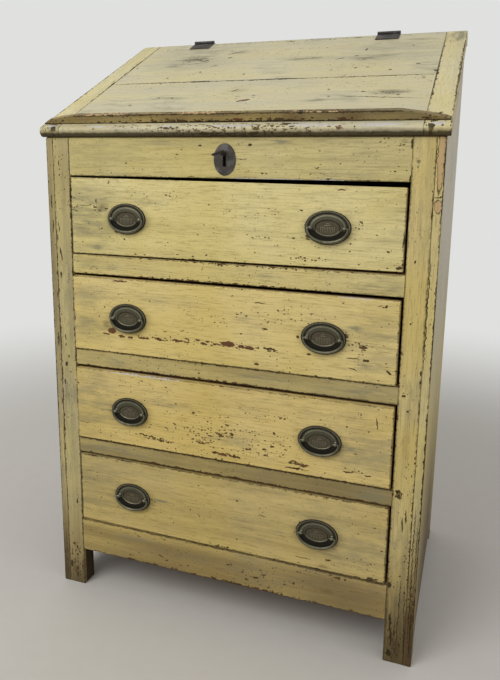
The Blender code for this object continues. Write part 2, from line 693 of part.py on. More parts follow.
def lock_bolt(material, parent):
    """Bolt that the key lifts out of the rail and into the lid."""
    foot = KEY_HEIGHT + BOLT_RISE
    return make("lock_bolt", material, parent, [
        box((-BOLT_HALF_WIDTH, bolt_front(), foot),
            (BOLT_HALF_WIDTH, bolt_front() + BOLT_THICKNESS, lock_top()))])


def escutcheon(material, parent):
    """Oval plate round the keyhole, slightly domed."""
    profile = [(ESCUTCHEON_PROFILE[0][0], -CLEAR)]
    profile += [(share, -CLEAR - height) for share, height in ESCUTCHEON_PROFILE]
    centre = (0.0, KEY_HEIGHT - ESCUTCHEON_DROP)
    plate = turned(profile, ESCUTCHEON_SIDES, ESCUTCHEON_HALF_WIDTH, ESCUTCHEON_HALF_HEIGHT, centre)
    return make("escutcheon", material, parent, [plate],
                cuts=[[keyhole(KEY_HEIGHT, 0.0, -FLAT_RAIL_THICKNESS, FLAT_RAIL_THICKNESS)]],
                smooth=True)


def key(material, parent):
    """Key with an oval bow lying level, a collar, a shank and a bit, modelled from its own axis."""
    ring_centre = -KEY_REACH + BOW_HALF_LENGTH
    back = LOCK_FRONT + LOCK_THICKNESS
    bit_start = bolt_front() + CLEAR
    half_bow = BOW_THICKNESS / 2
    bow = prism(oval((0.0, ring_centre), BOW_HALF_WIDTH, BOW_HALF_LENGTH, BOW_SIDES), "z",
                -half_bow, half_bow)
    eye = prism(oval((0.0, ring_centre), BOW_HALF_WIDTH - BOW_BAR, BOW_HALF_LENGTH - BOW_BAR,
                     BOW_SIDES), "z", -BOW_THICKNESS, BOW_THICKNESS)
    shank = rod("y", (0.0, 0.0), SHANK_OF_KEY_RADIUS, ring_centre + BOW_HALF_LENGTH - BOW_BAR / 2,
                back - LOCK_WALL + KEY_TIP_LENGTH, KEY_SIDES)
    collar_start = -KEY_COLLAR_STANDS_OFF - KEY_COLLAR_LENGTH
    collar = rod("y", (0.0, 0.0), KEY_COLLAR_RADIUS, collar_start, -KEY_COLLAR_STANDS_OFF, KEY_SIDES)
    bit = box((-KEY_BIT_REACH, bit_start, -KEY_BIT_THICKNESS / 2),
              (0.0, bit_start + KEY_BIT_LENGTH, KEY_BIT_THICKNESS / 2))
    item = raw_object("key", [bow], parent, (0.0, 0.0, KEY_HEIGHT))
    item.data.materials.append(material)
    combine(item, "DIFFERENCE", [eye])
    for shape in (shank, collar, bit):
        combine(item, "UNION", [shape])
    return item


# Drawers. Each is modelled from the middle of its opening, with z = 0 on the runner and y = 0 on
# the outer face of its front.

def tail_outlines(height, slack):
    """Dovetails of a drawer side, as (y, z) outlines that start inside the side board."""
    pitch = (height - CLEAR) / TAILS
    half = pitch * TAIL_SHARE / 2
    tip, root = FRONT_THICKNESS - TAIL_LENGTH - slack, FRONT_THICKNESS + SEAM
    outlines = []
    for number in range(TAILS):
        middle = CLEAR + pitch * (number + 0.5)
        outlines.append([(tip, middle - half - slack), (tip, middle + half + slack),
                         (root, middle + half - TAIL_TAPER + slack),
                         (root, middle - half + TAIL_TAPER - slack)])
    return outlines


def drawer_front(name, opening, gaps, material, parent):
    """Drawer front with blind dovetail sockets, the bottom's groove and holes for the handles."""
    top_left, top_right, bottom_left, bottom_right = gaps
    outline = [(DRAWER_LEFT, bottom_left), (DRAWER_RIGHT, bottom_right),
               (DRAWER_RIGHT, opening - top_right), (DRAWER_LEFT, opening - top_left)]
    side_height = opening - DRAWER_SIDE_DROP
    reach = DRAWER_SIDE_THICKNESS + CLEAR
    sockets = []
    for tail in tail_outlines(side_height, CLEAR):
        sockets.append(prism(tail, "x", DRAWER_LEFT - reach, DRAWER_LEFT + reach))
        sockets.append(prism(tail, "x", DRAWER_RIGHT - reach, DRAWER_RIGHT + reach))
    groove = bottom_groove(DRAWER_LEFT + reach + SEAM, DRAWER_RIGHT - reach - SEAM,
                           FRONT_THICKNESS - GROOVE_DEPTH - CLEAR, 2 * FRONT_THICKNESS)
    holes = []
    for centre in HANDLE_CENTRES:
        for sign in (-1, 1):
            holes.append(rod("y", (centre + sign * POST_SPREAD, HANDLE_HEIGHT), SHANK_HOLE_RADIUS,
                             -FRONT_THICKNESS, 2 * FRONT_THICKNESS, STUD_SIDES))
    return make(name, material, parent, [prism(outline, "y", 0.0, FRONT_THICKNESS)],
                cuts=[sockets, [groove], holes], edge=FRONT_EDGE_ROUNDING)


def bottom_groove(low_x, high_x, low_y, high_y):
    """Room for a drawer bottom between two x and two y values."""
    return box((low_x, low_y, BOTTOM_RISE - CLEAR),
               (high_x, high_y, BOTTOM_RISE + DRAWER_BOTTOM_THICKNESS + CLEAR))


def drawer_side(name, sign, opening, material, parent):
    """Drawer side with its dovetails and the groove for the bottom."""
    height = opening - DRAWER_SIDE_DROP
    outer = DRAWER_RIGHT if sign > 0 else DRAWER_LEFT
    inner = outer - sign * DRAWER_SIDE_THICKNESS
    low, high = sorted((outer, inner))
    start = FRONT_THICKNESS + CLEAR
    body = box((low, start, CLEAR), (high, DRAWER_LENGTH, height))
    tails = [prism(tail, "x", low, high) for tail in tail_outlines(height, 0.0)]
    deep = inner + sign * (GROOVE_DEPTH + CLEAR)
    groove_low, groove_high = sorted((inner - sign * DRAWER_SIDE_THICKNESS, deep))
    groove = bottom_groove(groove_low, groove_high, start, 2 * DRAWER_LENGTH)
    return make(name, material, parent, [body], joined=tails, cuts=[[groove]])


def drawer_back(name, opening, material, parent):
    """Drawer back, nailed between the sides above the bottom."""
    low_x = DRAWER_LEFT + DRAWER_SIDE_THICKNESS + CLEAR
    high_x = DRAWER_RIGHT - DRAWER_SIDE_THICKNESS - CLEAR
    low_z = BOTTOM_RISE + DRAWER_BOTTOM_THICKNESS + CLEAR
    top = opening - DRAWER_SIDE_DROP - DRAWER_BACK_DROP
    return make(name, material, parent, [
        box((low_x, DRAWER_LENGTH - DRAWER_BACK_THICKNESS, low_z), (high_x, DRAWER_LENGTH, top))])


def drawer_bottom(name, material, parent):
    """Drawer bottom, slid in from behind, its front edge a tongue in the drawer front."""
    inner_left = DRAWER_LEFT + DRAWER_SIDE_THICKNESS
    inner_right = DRAWER_RIGHT - DRAWER_SIDE_THICKNESS
    wide_left, wide_right = inner_left - GROOVE_DEPTH, inner_right + GROOVE_DEPTH
    tongue_left, tongue_right = inner_left + CLEAR + 2 * SEAM, inner_right - CLEAR - 2 * SEAM
    near, shoulder = FRONT_THICKNESS - GROOVE_DEPTH, FRONT_THICKNESS + 2 * CLEAR
    outline = [(tongue_left, near), (tongue_right, near), (tongue_right, shoulder),
               (wide_right, shoulder), (wide_right, DRAWER_LENGTH), (wide_left, DRAWER_LENGTH),
               (wide_left, shoulder), (tongue_left, shoulder)]
    return make(name, material, parent,
                [prism(outline, "z", BOTTOM_RISE, BOTTOM_RISE + DRAWER_BOTTOM_THICKNESS)])


def backplate(name, material, parent, centre):
    """Oval plate with two studs, which pass through the drawer front and take a nut each."""
    profile = [(PLATE_PROFILE[0][0], -CLEAR)]
    profile += [(share, -CLEAR - height) for share, height in PLATE_PROFILE]
    plate = turned(profile, PLATE_SIDES, PLATE_HALF_WIDTH, PLATE_HALF_HEIGHT)
    nut_start = FRONT_THICKNESS + CLEAR
    studs, holes = [], []
    for sign in (-1, 1):
        spot = (sign * POST_SPREAD, 0.0)
        head = STUD_HEAD_RADIUS
        stud = [(SHANK_RADIUS, nut_start + NUT_THICKNESS / 2), (SHANK_RADIUS, -CLEAR),
                (STUD_RADIUS, -CLEAR - SEAM),
                (STUD_RADIUS, -PIVOT_HEIGHT + head), (head, -PIVOT_HEIGHT + head * STUD_CROWN),
                (head, -PIVOT_HEIGHT - head * STUD_CROWN), (head * STUD_CROWN, -PIVOT_HEIGHT - head)]
        studs.append(turned(stud, STUD_SIDES, centre=spot))
        studs.append(rod("y", spot, NUT_RADIUS, nut_start, nut_start + NUT_THICKNESS, STUD_SIDES))
        holes.append(rod("x", (-PIVOT_HEIGHT, 0.0), BAIL_HOLE_RADIUS, spot[0] - 2 * head,
                         spot[0] + 2 * head, STUD_SIDES))
    return make(name, material, parent, [plate], joined=studs, cuts=[holes], smooth=True,
                location=(centre, 0.0, HANDLE_HEIGHT))


def bail(name, material, parent, centre):
    """Hanging bail, modelled from its axis, its two ends turned in as pins."""
    pin_end = POST_SPREAD - BAIL_PIN_REACH
    path = [(-pin_end, 0.0), (-(BAIL_HALF_WIDTH - BAIL_BEND), 0.0)]
    radii = [BAIL_PIN_RADIUS, BAIL_PIN_RADIUS]
    lean = math.pi / 4
    path.append((-(BAIL_HALF_WIDTH - BAIL_BEND + BAIL_BEND * math.sin(lean)),
                 -BAIL_BEND * (1 - math.cos(lean))))
    radii.append((BAIL_PIN_RADIUS + BAIL_ARM_RADIUS) / 2)
    for step in range(BAIL_STEPS + 1):
        turn = math.pi * step / BAIL_STEPS
        path.append((-BAIL_HALF_WIDTH * math.cos(turn),
                     -BAIL_BEND - (BAIL_DROP - BAIL_BEND) * math.sin(turn)))
        radii.append(BAIL_ARM_RADIUS + (BAIL_GRIP_RADIUS - BAIL_ARM_RADIUS) * math.sin(turn))
    path += [(-x, z) for x, z in reversed(path[:3])]
    radii += radii[2::-1]
    return make(name, material, parent, [bent_rod(path, radii, BAIL_SIDES)], smooth=True,
                location=(centre, -PIVOT_HEIGHT, HANDLE_HEIGHT))


def drawer(number, painted, raw, bronze, desk):
    """One drawer with its two handles."""
    opening = OPENING_HEIGHTS[number]
    title = f"drawer_{number + 1}"
    carrier = frame_at(f"{title}_carrier", (0.0, -STANDS_PROUD[number], OPENINGS[number]), desk)
    drawer_front(f"{title}_front", opening, FRONT_GAPS[number], painted, carrier)
    drawer_side(f"{title}_left_side", -1, opening, raw, carrier)
    drawer_side(f"{title}_right_side", 1, opening, raw, carrier)
    drawer_back(f"{title}_back", opening, raw, carrier)
    drawer_bottom(f"{title}_bottom", raw, carrier)
    for side, centre in zip(("left", "right"), HANDLE_CENTRES):
        backplate(f"{title}_{side}_backplate", bronze, carrier, centre)
        bail(f"{title}_{side}_bail", bronze, carrier, centre)


def main():
    """Clear the scene and build the desk."""
    for old in list(bpy.data.objects):
        bpy.data.objects.remove(old, do_unlink=True)
    painted = finish("painted_pine", (0.62, 0.52, 0.28), 0.55, 0.0)
    raw = finish("raw_pine", (0.42, 0.27, 0.14), 0.75, 0.0)
    iron = finish("black_iron", (0.045, 0.042, 0.040), 0.5, 0.9)
    bronze = finish("dark_bronze", (0.10, 0.095, 0.08), 0.45, 0.9)

    desk = frame_at("desk", (0.0, FRONT_Y, 0.0))
    side_board("left_side", -1, painted, desk)
    side_board("right_side", 1, painted, desk)
    front_post("left_front_post", -1, painted, desk)
    front_post("right_front_post", 1, painted, desk)
    back_panel(raw, desk)
    top_rail(painted, desk)
    levels = rail_levels()
    for number, level in enumerate(levels[1:-1], start=1):
        rail(f"drawer_rail_{number}", level, painted, desk)
    rail("bottom_rail", levels[-1], painted, desk)
    well_floor(raw, desk)
    top_board(painted, desk)

    escutcheon(iron, desk)
    lock_case(iron, desk)
    lock_bolt(iron, desk)
    key(iron, desk)

    fixed_hinge = frame_at("hinge_line", PIN, desk)
    lid = frame_at("lid_carrier", PIN, desk, (LID_SLOPE, 0.0, 0.0))
    lid_panel(painted, lid, strike_cutter(desk))
    lid_cleat("lid_left_cleat", -1, painted, lid)
    lid_cleat("lid_right_cleat", 1, painted, lid)
    book_ledge(painted, lid)
    for side, centre in zip(("left", "right"), HINGE_CENTRES):
        hinge_fixed_leaf(f"{side}_hinge_fixed_leaf", centre, iron, fixed_hinge)
        hinge_lid_leaf(f"{side}_hinge_lid_leaf", centre, iron, lid)

    for number in range(len(OPENING_HEIGHTS)):
        drawer(number, painted, raw, bronze, desk)


main()
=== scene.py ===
"""Finishes a slant-top clerk's desk over four drawers: worn ochre paint, bare pine, dark metalwork."""

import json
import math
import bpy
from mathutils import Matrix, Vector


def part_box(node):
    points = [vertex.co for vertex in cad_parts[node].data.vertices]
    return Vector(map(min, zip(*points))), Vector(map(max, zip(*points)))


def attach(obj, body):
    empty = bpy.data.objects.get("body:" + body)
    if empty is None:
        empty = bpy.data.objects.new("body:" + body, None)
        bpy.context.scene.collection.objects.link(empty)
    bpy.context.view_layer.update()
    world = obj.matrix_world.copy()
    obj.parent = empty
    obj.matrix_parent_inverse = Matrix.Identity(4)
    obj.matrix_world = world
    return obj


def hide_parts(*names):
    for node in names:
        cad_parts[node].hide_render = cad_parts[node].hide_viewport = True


bl_info = {
    "name": "Slant-Top Clerk's Desk",
    "version": (1, 0, 0),
    "blender": (4, 5, 0),
    "location": "3D View > Sidebar > Desk",
    "description": "Finishes the frame of a slant-top desk over four drawers",
    "category": "Object",
}

from collections import namedtuple

import bmesh
import bpy
from bpy.props import FloatProperty, FloatVectorProperty, PointerProperty
from mathutils import Euler, Matrix, Vector

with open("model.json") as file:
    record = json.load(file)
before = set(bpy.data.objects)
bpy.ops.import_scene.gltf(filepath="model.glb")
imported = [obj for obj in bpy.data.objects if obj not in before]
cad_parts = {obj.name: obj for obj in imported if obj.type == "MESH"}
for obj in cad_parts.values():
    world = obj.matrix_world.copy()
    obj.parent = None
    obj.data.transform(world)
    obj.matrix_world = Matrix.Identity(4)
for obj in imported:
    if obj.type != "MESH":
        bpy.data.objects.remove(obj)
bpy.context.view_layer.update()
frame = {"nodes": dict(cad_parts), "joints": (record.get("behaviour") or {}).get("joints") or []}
JOINTS = {joint["name"]: joint for joint in frame["joints"]}
DRAWERS = (1, 2, 3, 4)
SIDES = ("left", "right")

MERGE = 1e-5                         # points that are closer are one point
PLANE_SLACK = 1e-4
FLAT_ENOUGH = math.radians(0.5)      # faces that meet at less are one face
SMOOTH = math.radians(35)            # edges that turn by less are shaded smooth
SHARP = math.radians(40)             # edges that turn by more can be eased
EASED_SEGMENTS = 3                   # of the rounding of a board's edge
SMALL_SEGMENTS = 2                   # of the rounding of a small part
FOOT_REACH = 0.01                    # a board that starts lower than this stands on the floor


def upward_slope(node):
    """Angle between the level and the widest face of a board that looks up."""
    areas = {}
    for face in frame["nodes"][node].data.polygons:
        if face.normal.z > 0.5:
            key = tuple(round(value, 3) for value in face.normal)
            areas[key] = areas.get(key, 0.0) + face.area
    normal = max(areas, key=areas.get)
    return math.atan2(-normal[1], normal[2])


LID_PIN = Vector(JOINTS["lid_hinge"]["pos_m"])
LID_SLOPE = upward_slope("lid_panel")
# Places a point given from the hinge pin, with y up the slope and z square to the lid
LID_SPACE = Matrix.Translation(LID_PIN) @ Matrix.Rotation(LID_SLOPE, 4, "X")
DESK_SPACE = Matrix.Identity(4)


def extent(node, space):
    """Lowest and highest corner of a CAD node, measured in a space."""
    inverse = space.inverted()
    points = [inverse @ vertex.co for vertex in frame["nodes"][node].data.vertices]
    low = Vector(min(point[axis] for point in points) for axis in range(3))
    high = Vector(max(point[axis] for point in points) for axis in range(3))
    return low, high


# Painted boards. A face is named by the way it looks, its axis is the board's thickness.
FACES = {"front": (1, -1), "top": (2, 1), "left": (0, -1), "right": (0, 1)}
# Across and up the face of a board, as axes of its space
FACE_AXES = {"front": (0, 2), "top": (0, 1), "left": (1, 2), "right": (1, 2)}

Mark = namedtuple("Mark", "kind across up half_across half_up turn amount",
                  defaults=(0.0018, 0.0012, 0.0, 1.0))
# Grain and face of a painted board, how far in from that face the paint reaches, shares of age, warmth,
# fading, chips and stain, how far its edges are rubbed round, its marks, those of its front edge, and
# the space in which all this is measured. Age darkens the paint to olive brown; on the lower boards
# this is partly painted shade, darker towards the bottom
Board = namedtuple("Board", "node grain face skin age warm faded chips stain eased marks edge_marks space",
                   defaults=((), (), DESK_SPACE))

# Share of a mark, from its outline inwards, over which it fades out
SOFTNESS = {"chips": 0.6, "soot": 0.9, "stain": 0.95, "film": 0.95, "bleach": 0.6, "brown": 0.9, "pale": 0.7,
            "rust": 0.25, "chip": 0.25, "bare": 0.8, "dark": 0.25}
# How much larger a mark is drawn than it measures, because its ragged rim takes some away
GROWTH = {"rust": 1.45, "chip": 1.15, "dark": 1.25}
# Widths over heights that a mark can have. Each mark takes the nearest.
RATIOS = (0.01, 0.03, 0.1, 0.3, 0.6, 1.0, 1.6, 2.7, 5.0, 10.0, 25.0, 70.0)
FLAT = 10000.0            # flattens the depth under a mark
PATCH_DEPTH = 50.0        # half depth of a rust patch, far more than a leaf is thick
SHADOW_AND_DIRT_REACH = 1.36         # how much wider than a handle plate the painted shadow and dirt round it reach
SHADOW_AND_DIRT_DRIFT = 0.002        # how far they lie to the lower right, where a cast shadow falls
SHADOW_AND_DIRT_AMOUNT = 1.7         # how strong it is
OLD_SHINE = 0.15          # specular level of old paint and of tarnished metal
PATCH_SOFTNESS = 0.8      # share of a rust patch over which it fades out
# How far behind the front of a side board its edge's marks give way to those of its face
EDGE_FADE = (0.003, 0.007)
# How far behind it bare wood can show
EDGE_PAINT = (0.004, 0.008)
# How ragged the line between paint and bare wood is, and half the distance over which it fades
SKIN_RAGGED = 0.004
SKIN_FADE = 0.0008
# Black on the bare wood of a foot: full up to the first height, none from the second, its share
FOOT_DARKENING = (0.07, 0.16, 0.93)
# How far back the lid's front edge reaches, and how ragged its dark lines are
NOSE = (0.010, 0.016)
NOSE_RAGGED = 0.005
# How far below the slope its painted shade (olive brown) and its grime with painted shadow (black) start and
# are full, and their shares
NOSE_SHADE = (0.0020, 0.0070, 0.5)
NOSE_GRIME_AND_SHADOW = (0.0063, 0.0103, 0.84)


def marks(**kinds):
    """Marks by kind, each with across, up, half width, half height, turn and amount."""
    return [Mark(kind, *values) for kind, places in kinds.items() for values in places]


# Marks are placed in metres: across from the middle of the desk, up from the board's lower edge
TOP_RAIL_MARKS = marks(
    # The first dark mark is painted shadow in the keyhole, seen through the lock plate
    dark=[(0.0, 0.032, 0.009, 0.018), (-0.047, 0.0555, 0.0028, 0.0020), (0.045, 0.056, 0.0028, 0.0018),
          (0.027, 0.0327, 0.008, 0.0006, -4), (0.309, 0.058, 0.002, 0.006), (0.309, 0.005, 0.0015, 0.005)],
    chip=[(0.067, 0.010), (0.074, 0.009), (0.164, 0.0465), (0.198, 0.027), (0.025, 0.058), (-0.190, 0.023)],
    brown=[(0.297, 0.062, 0.010, 0.005, 0, 0.5)],
    chips=[(0.0, 0.075, 0.300, 0.004, 0, 0.6), (0.28, 0.060, 0.030, 0.012, 0, 0.5)],
    stain=[(0.096, 0.062, 0.030, 0.005), (-0.214, 0.007, 0.050, 0.006), (-0.10, 0.060, 0.10, 0.010, 0, 0.6),
           (0.20, 0.012, 0.09, 0.010, 0, 0.5)],
    film=[(-0.26, 0.040, 0.16, 0.06, 0, 0.45)],
    pale=[(0.110, 0.0, 0.160, 0.0022, 0, 1.3)],
)
DRAWER_MARKS = {
    1: marks(
        dark=[(-0.2825, 0.091, 0.006, 0.0007, -10), (-0.2715, 0.091, 0.006, 0.0007, 10),
              (-0.302, 0.0805, 0.008, 0.0007, -3), (0.305, 0.054, 0.0008, 0.012)],
        chip=[(-0.308, 0.105, 0.0014, 0.003), (-0.308, 0.119, 0.0014, 0.002),
              (-0.234, 0.086, 0.003, 0.0014, 20), (-0.244, 0.0485, 0.0022, 0.0014), (-0.287, 0.022),
              (-0.175, 0.005, 0.0026, 0.001), (-0.157, 0.005, 0.0026, 0.001),
              (-0.090, 0.008, 0.0026, 0.001), (-0.060, 0.007, 0.003, 0.001), (-0.034, 0.011),
              (-0.112, 0.114), (-0.038, 0.064), (0.042, 0.0515), (-0.029, 0.099),
              (0.136, 0.096, 0.0022, 0.0012), (0.125, 0.049, 0.0022, 0.0013), (0.220, 0.031),
              (0.300, 0.009, 0.004, 0.003), (0.281, 0.0075), (0.281, 0.034), (0.262, 0.060), (0.236, 0.010)],
        rust=[(-0.214, 0.044, 0.004, 0.0012), (0.203, 0.130, 0.006, 0.001)],
        chips=[(-0.060, 0.0, 0.050, 0.0035, 0, 1.0), (0.064, 0.047, 0.034, 0.004, 0, 0.9),
               (0.147, 0.062, 0.012, 0.018, 0, 0.8), (0.232, 0.076, 0.016, 0.014, 0, 0.5),
               (-0.252, 0.088, 0.014, 0.020, 0, 0.8), (-0.300, 0.090, 0.010, 0.020, 0, 0.5),
               (0.144, 0.015, 0.062, 0.005, 0, 0.9), (0.176, 0.018, 0.016, 0.004, 0, 0.9)],
        soot=[(-0.242, 0.088, 0.018, 0.013, 0, 0.7)],
        stain=[(-0.239, 0.103, 0.012, 0.008), (-0.248, 0.080, 0.010, 0.014), (-0.274, 0.060, 0.016, 0.006),
               (-0.256, 0.013, 0.020, 0.006), (0.056, 0.062, 0.003, 0.008),
               (-0.150, 0.100, 0.05, 0.012, 0, 0.5)],
        film=[(-0.285, 0.070, 0.110, 0.12, 0, 0.95), (0.300, 0.070, 0.060, 0.10, 0, 0.35)],
    ),
    2: marks(
        dark=[(0.294, 0.0216, 0.0055, 0.0018, -30), (0.234, 0.021, 0.010, 0.0007, -10),
              (-0.307, 0.063, 0.001, 0.006)],
        chip=[(-0.277, 0.032), (-0.118, 0.034, 0.0025, 0.001), (0.065, 0.039, 0.005, 0.0013),
              (0.087, 0.0405, 0.010, 0.0024), (0.098, 0.038, 0.005, 0.0014), (-0.241, 0.088),
              (-0.254, 0.068), (0.158, 0.038, 0.005, 0.0014), (0.138, 0.067, 0.003, 0.003),
              (0.0685, 0.1205, 0.010, 0.001), (0.213, 0.132, 0.003, 0.001), (0.034, 0.100),
              (0.2335, 0.039, 0.010, 0.0012), (0.256, 0.038, 0.005, 0.002), (0.289, 0.037), (0.277, 0.007),
              (-0.114, 0.052, 0.004, 0.0009), (-0.080, 0.0565, 0.004, 0.0009),
              (0.027, 0.097, 0.0035, 0.001), (0.017, 0.1295), (-0.146, 0.107), (-0.188, 0.1036),
              (0.035, 0.062)],
        rust=[(-0.226, 0.0425, 0.007, 0.0048), (-0.206, 0.034, 0.0055, 0.0025),
              (-0.240, 0.036, 0.007, 0.0012), (-0.187, 0.033, 0.0045, 0.002),
              (-0.158, 0.0345, 0.0105, 0.0016), (-0.131, 0.037, 0.004, 0.0014),
              (-0.089, 0.037, 0.0095, 0.0018), (-0.071, 0.0365, 0.004, 0.001),
              (-0.049, 0.042, 0.004, 0.0014), (-0.030, 0.0415, 0.0035, 0.0012),
              (-0.011, 0.0385, 0.006, 0.0013), (0.010, 0.041, 0.012, 0.0035),
              (0.035, 0.0385, 0.006, 0.0018), (0.050, 0.038, 0.008, 0.0024),
              (-0.208, 0.1395, 0.012, 0.0014)],
        chips=[(-0.02, 0.038, 0.20, 0.009, 0, 0.75), (0.220, 0.0745, 0.006, 0.012, 0, 1.3),
               (0.277, 0.132, 0.020, 0.003, 0, 1.2), (0.0775, 0.0747, 0.012, 0.004, 0, 1.3),
               (0.047, 0.0967, 0.008, 0.005), (0.0645, 0.0104, 0.010, 0.003, 0, 1.2),
               (0.240, 0.055, 0.040, 0.020, 0, 0.6), (0.12, 0.10, 0.10, 0.020, 0, 0.4)],
        stain=[(0.235, 0.091, 0.020, 0.008), (-0.220, 0.060, 0.030, 0.016, 0, 0.8),
               (-0.10, 0.110, 0.10, 0.020, 0, 0.3), (0.05, 0.085, 0.07, 0.014, 0, 0.4),
               (0.255, 0.030, 0.040, 0.014, 0, 0.7)],
        film=[(-0.290, 0.070, 0.095, 0.11, 0, 0.75), (0.275, 0.070, 0.095, 0.10, 0, 0.6)],
        soot=[(-0.238, 0.055, 0.014, 0.013, 0, 0.6)],
        pale=[(0.235, 0.1425, 0.060, 0.0016)],
    ),
    3: marks(
        dark=[(-0.296, 0.0325, 0.010, 0.0006, -3), (0.279, 0.1144, 0.001, 0.009, 6)],
        chip=[(-0.306, 0.113), (-0.013, 0.014, 0.007, 0.0022), (0.028, 0.012, 0.008, 0.0018),
              (-0.094, 0.0975), (-0.114, 0.1275, 0.003, 0.001), (-0.057, 0.049), (0.044, 0.0996),
              (0.099, 0.069, 0.0022, 0.0022), (0.096, 0.0436, 0.004, 0.0016), (0.137, 0.0095, 0.010, 0.002),
              (0.233, 0.019, 0.009, 0.0012), (0.268, 0.018, 0.005, 0.0012), (0.252, 0.126), (0.229, 0.101),
              (0.246, 0.0547, 0.004, 0.0009), (0.266, 0.098)],
        chips=[(-0.140, 0.023, 0.058, 0.006, -5, 1.3), (0.012, 0.052, 0.045, 0.007, 5, 1.2),
               (-0.036, 0.0305, 0.028, 0.007, 0, 1.2), (0.0075, 0.013, 0.030, 0.004, 0, 1.2),
               (0.035, 0.095, 0.010, 0.005, 0, 0.9), (0.144, 0.0185, 0.036, 0.006, -6, 1.4),
               (0.145, 0.009, 0.030, 0.0035, 0, 1.3), (0.112, 0.102, 0.035, 0.005, 0, 0.8),
               (0.059, 0.0285, 0.024, 0.010, 0, 1.1), (-0.05, 0.075, 0.10, 0.020, 0, 0.35),
               (0.250, 0.020, 0.05, 0.008, 0, 0.6), (0.02, 0.045, 0.18, 0.035, 0, 0.5)],
        stain=[(-0.225, 0.060, 0.050, 0.030, 0, 0.8), (-0.120, 0.095, 0.080, 0.016, 0, 0.4),
               (0.02, 0.040, 0.08, 0.020, 0, 0.5), (0.230, 0.060, 0.05, 0.014, 0, 0.6)],
        film=[(-0.285, 0.070, 0.105, 0.11, 0, 0.8), (0.270, 0.070, 0.110, 0.10, 0, 0.6)],
        pale=[(-0.165, 0.1435, 0.140, 0.0016)],
    ),
    4: marks(
        dark=[(0.078, 0.0832, 0.0065, 0.0007, -6), (0.157, 0.017, 0.014, 0.0006, 2)],
        chip=[(-0.264, 0.055), (0.028, 0.104), (0.029, 0.0255), (0.284, 0.102), (0.298, 0.062),
              (-0.05, 0.120)],
        chips=[(0.203, 0.023, 0.007, 0.004, 0, 1.5), (0.284, 0.004, 0.014, 0.006, 0, 1.5),
               (0.05, 0.004, 0.25, 0.003, 0, 0.5)],
        brown=[(0.196, 0.008, 0.018, 0.006, 0, 0.7)],
        stain=[(-0.259, 0.066, 0.016, 0.004), (-0.219, 0.0387, 0.020, 0.005),
               (-0.130, 0.0715, 0.035, 0.008), (0.223, 0.075, 0.014, 0.008), (0.106, 0.0566, 0.026, 0.005),
               (-0.215, 0.070, 0.05, 0.03, 0, 0.6), (0.21, 0.050, 0.06, 0.03, 0, 0.5)],
        film=[(-0.290, 0.070, 0.095, 0.11, 0, 0.6), (0.280, 0.070, 0.095, 0.10, 0, 0.5)],
    ),
}
BOTTOM_RAIL_MARKS = marks(
    chip=[(-0.292, 0.047), (-0.268, 0.045), (-0.252, 0.026, 0.002, 0.0014), (-0.180, 0.020),
          (-0.131, 0.024, 0.006, 0.0014, -20), (-0.119, 0.017, 0.004, 0.0012),
          (-0.087, 0.0135, 0.004, 0.001), (-0.073, 0.0154, 0.003, 0.001), (0.040, 0.029, 0.002, 0.0015),
          (0.094, 0.0095, 0.003, 0.0014), (0.134, 0.032), (0.250, 0.004, 0.004, 0.0015), (0.297, 0.0285)],
    chips=[(0.013, 0.040, 0.014, 0.004, 0, 1.2), (0.083, 0.035, 0.008, 0.005, 0, 1.1),
           (0.228, 0.062, 0.020, 0.003, 0, 1.2), (0.0, 0.002, 0.300, 0.005, 0, 0.8),
           (0.10, 0.03, 0.12, 0.02, 0, 0.4)],
    brown=[(0.205, 0.0305, 0.035, 0.014, 0, 0.9), (0.240, 0.030, 0.190, 0.070, 0, 0.6),
           (-0.05, 0.015, 0.24, 0.05, 0, 0.65)],
    stain=[(0.0, 0.030, 0.30, 0.030, 0, 0.5), (-0.20, 0.050, 0.08, 0.01, 0, 0.6)],
)
# Low on the posts, brown marks and dark marks of soot and shade darken the paint towards the floor: wear and
# grime, partly painted shade
RIGHT_POST_MARKS = marks(
    dark=[(0.320, 0.879, 0.003, 0.0026, 0, 0.6), (0.320, 0.8715, 0.002, 0.0016, 0, 0.6),
          (0.323, 0.623, 0.0016, 0.0016), (0.328, 0.475, 0.0018, 0.0018), (0.321, 0.321, 0.003, 0.004),
          (0.318, 0.329, 0.003, 0.003), (0.335, 0.286, 0.0012, 0.011, 4), (0.330, 0.270, 0.0014, 0.012, 4),
          (0.3455, 0.199, 0.0007, 0.040), (0.3435, 0.076, 0.0007, 0.072, 2),
          (0.333, 0.10, 0.0006, 0.07, -1), (0.315, 0.1515, 0.003, 0.006), (0.319, 0.081, 0.0022, 0.014),
          (0.322, 0.050, 0.0020, 0.016), (0.3205, 0.018, 0.004, 0.006)],
    chip=[(0.319, 0.500, 0.0035, 0.0022), (0.3445, 0.542, 0.0014, 0.004), (0.3445, 0.5275, 0.0014, 0.003),
          (0.331, 0.172), (0.317, 0.017, 0.002, 0.004), (0.325, 0.724, 0.001, 0.003)],
    chips=[(0.320, 0.325, 0.011, 0.014, 0, 1.5), (0.330, 0.050, 0.018, 0.065, 0, 0.6),
           (0.340, 0.200, 0.006, 0.100, 0, 0.5), (0.345, 0.30, 0.0018, 0.28, 0, 0.5)],
    film=[(0.330, 0.10, 0.030, 0.22, 0, 1.0), (0.330, 0.82, 0.040, 0.14, 0, 0.5)],
    brown=[(0.330, 0.0, 0.070, 0.38, 0, 0.95), (0.328, 0.42, 0.010, 0.10, 0, 0.3)],
    soot=[(0.330, 0.0, 0.050, 0.20, 0, 0.9), (0.313, 0.06, 0.005, 0.10, 0, 0.9)],
)
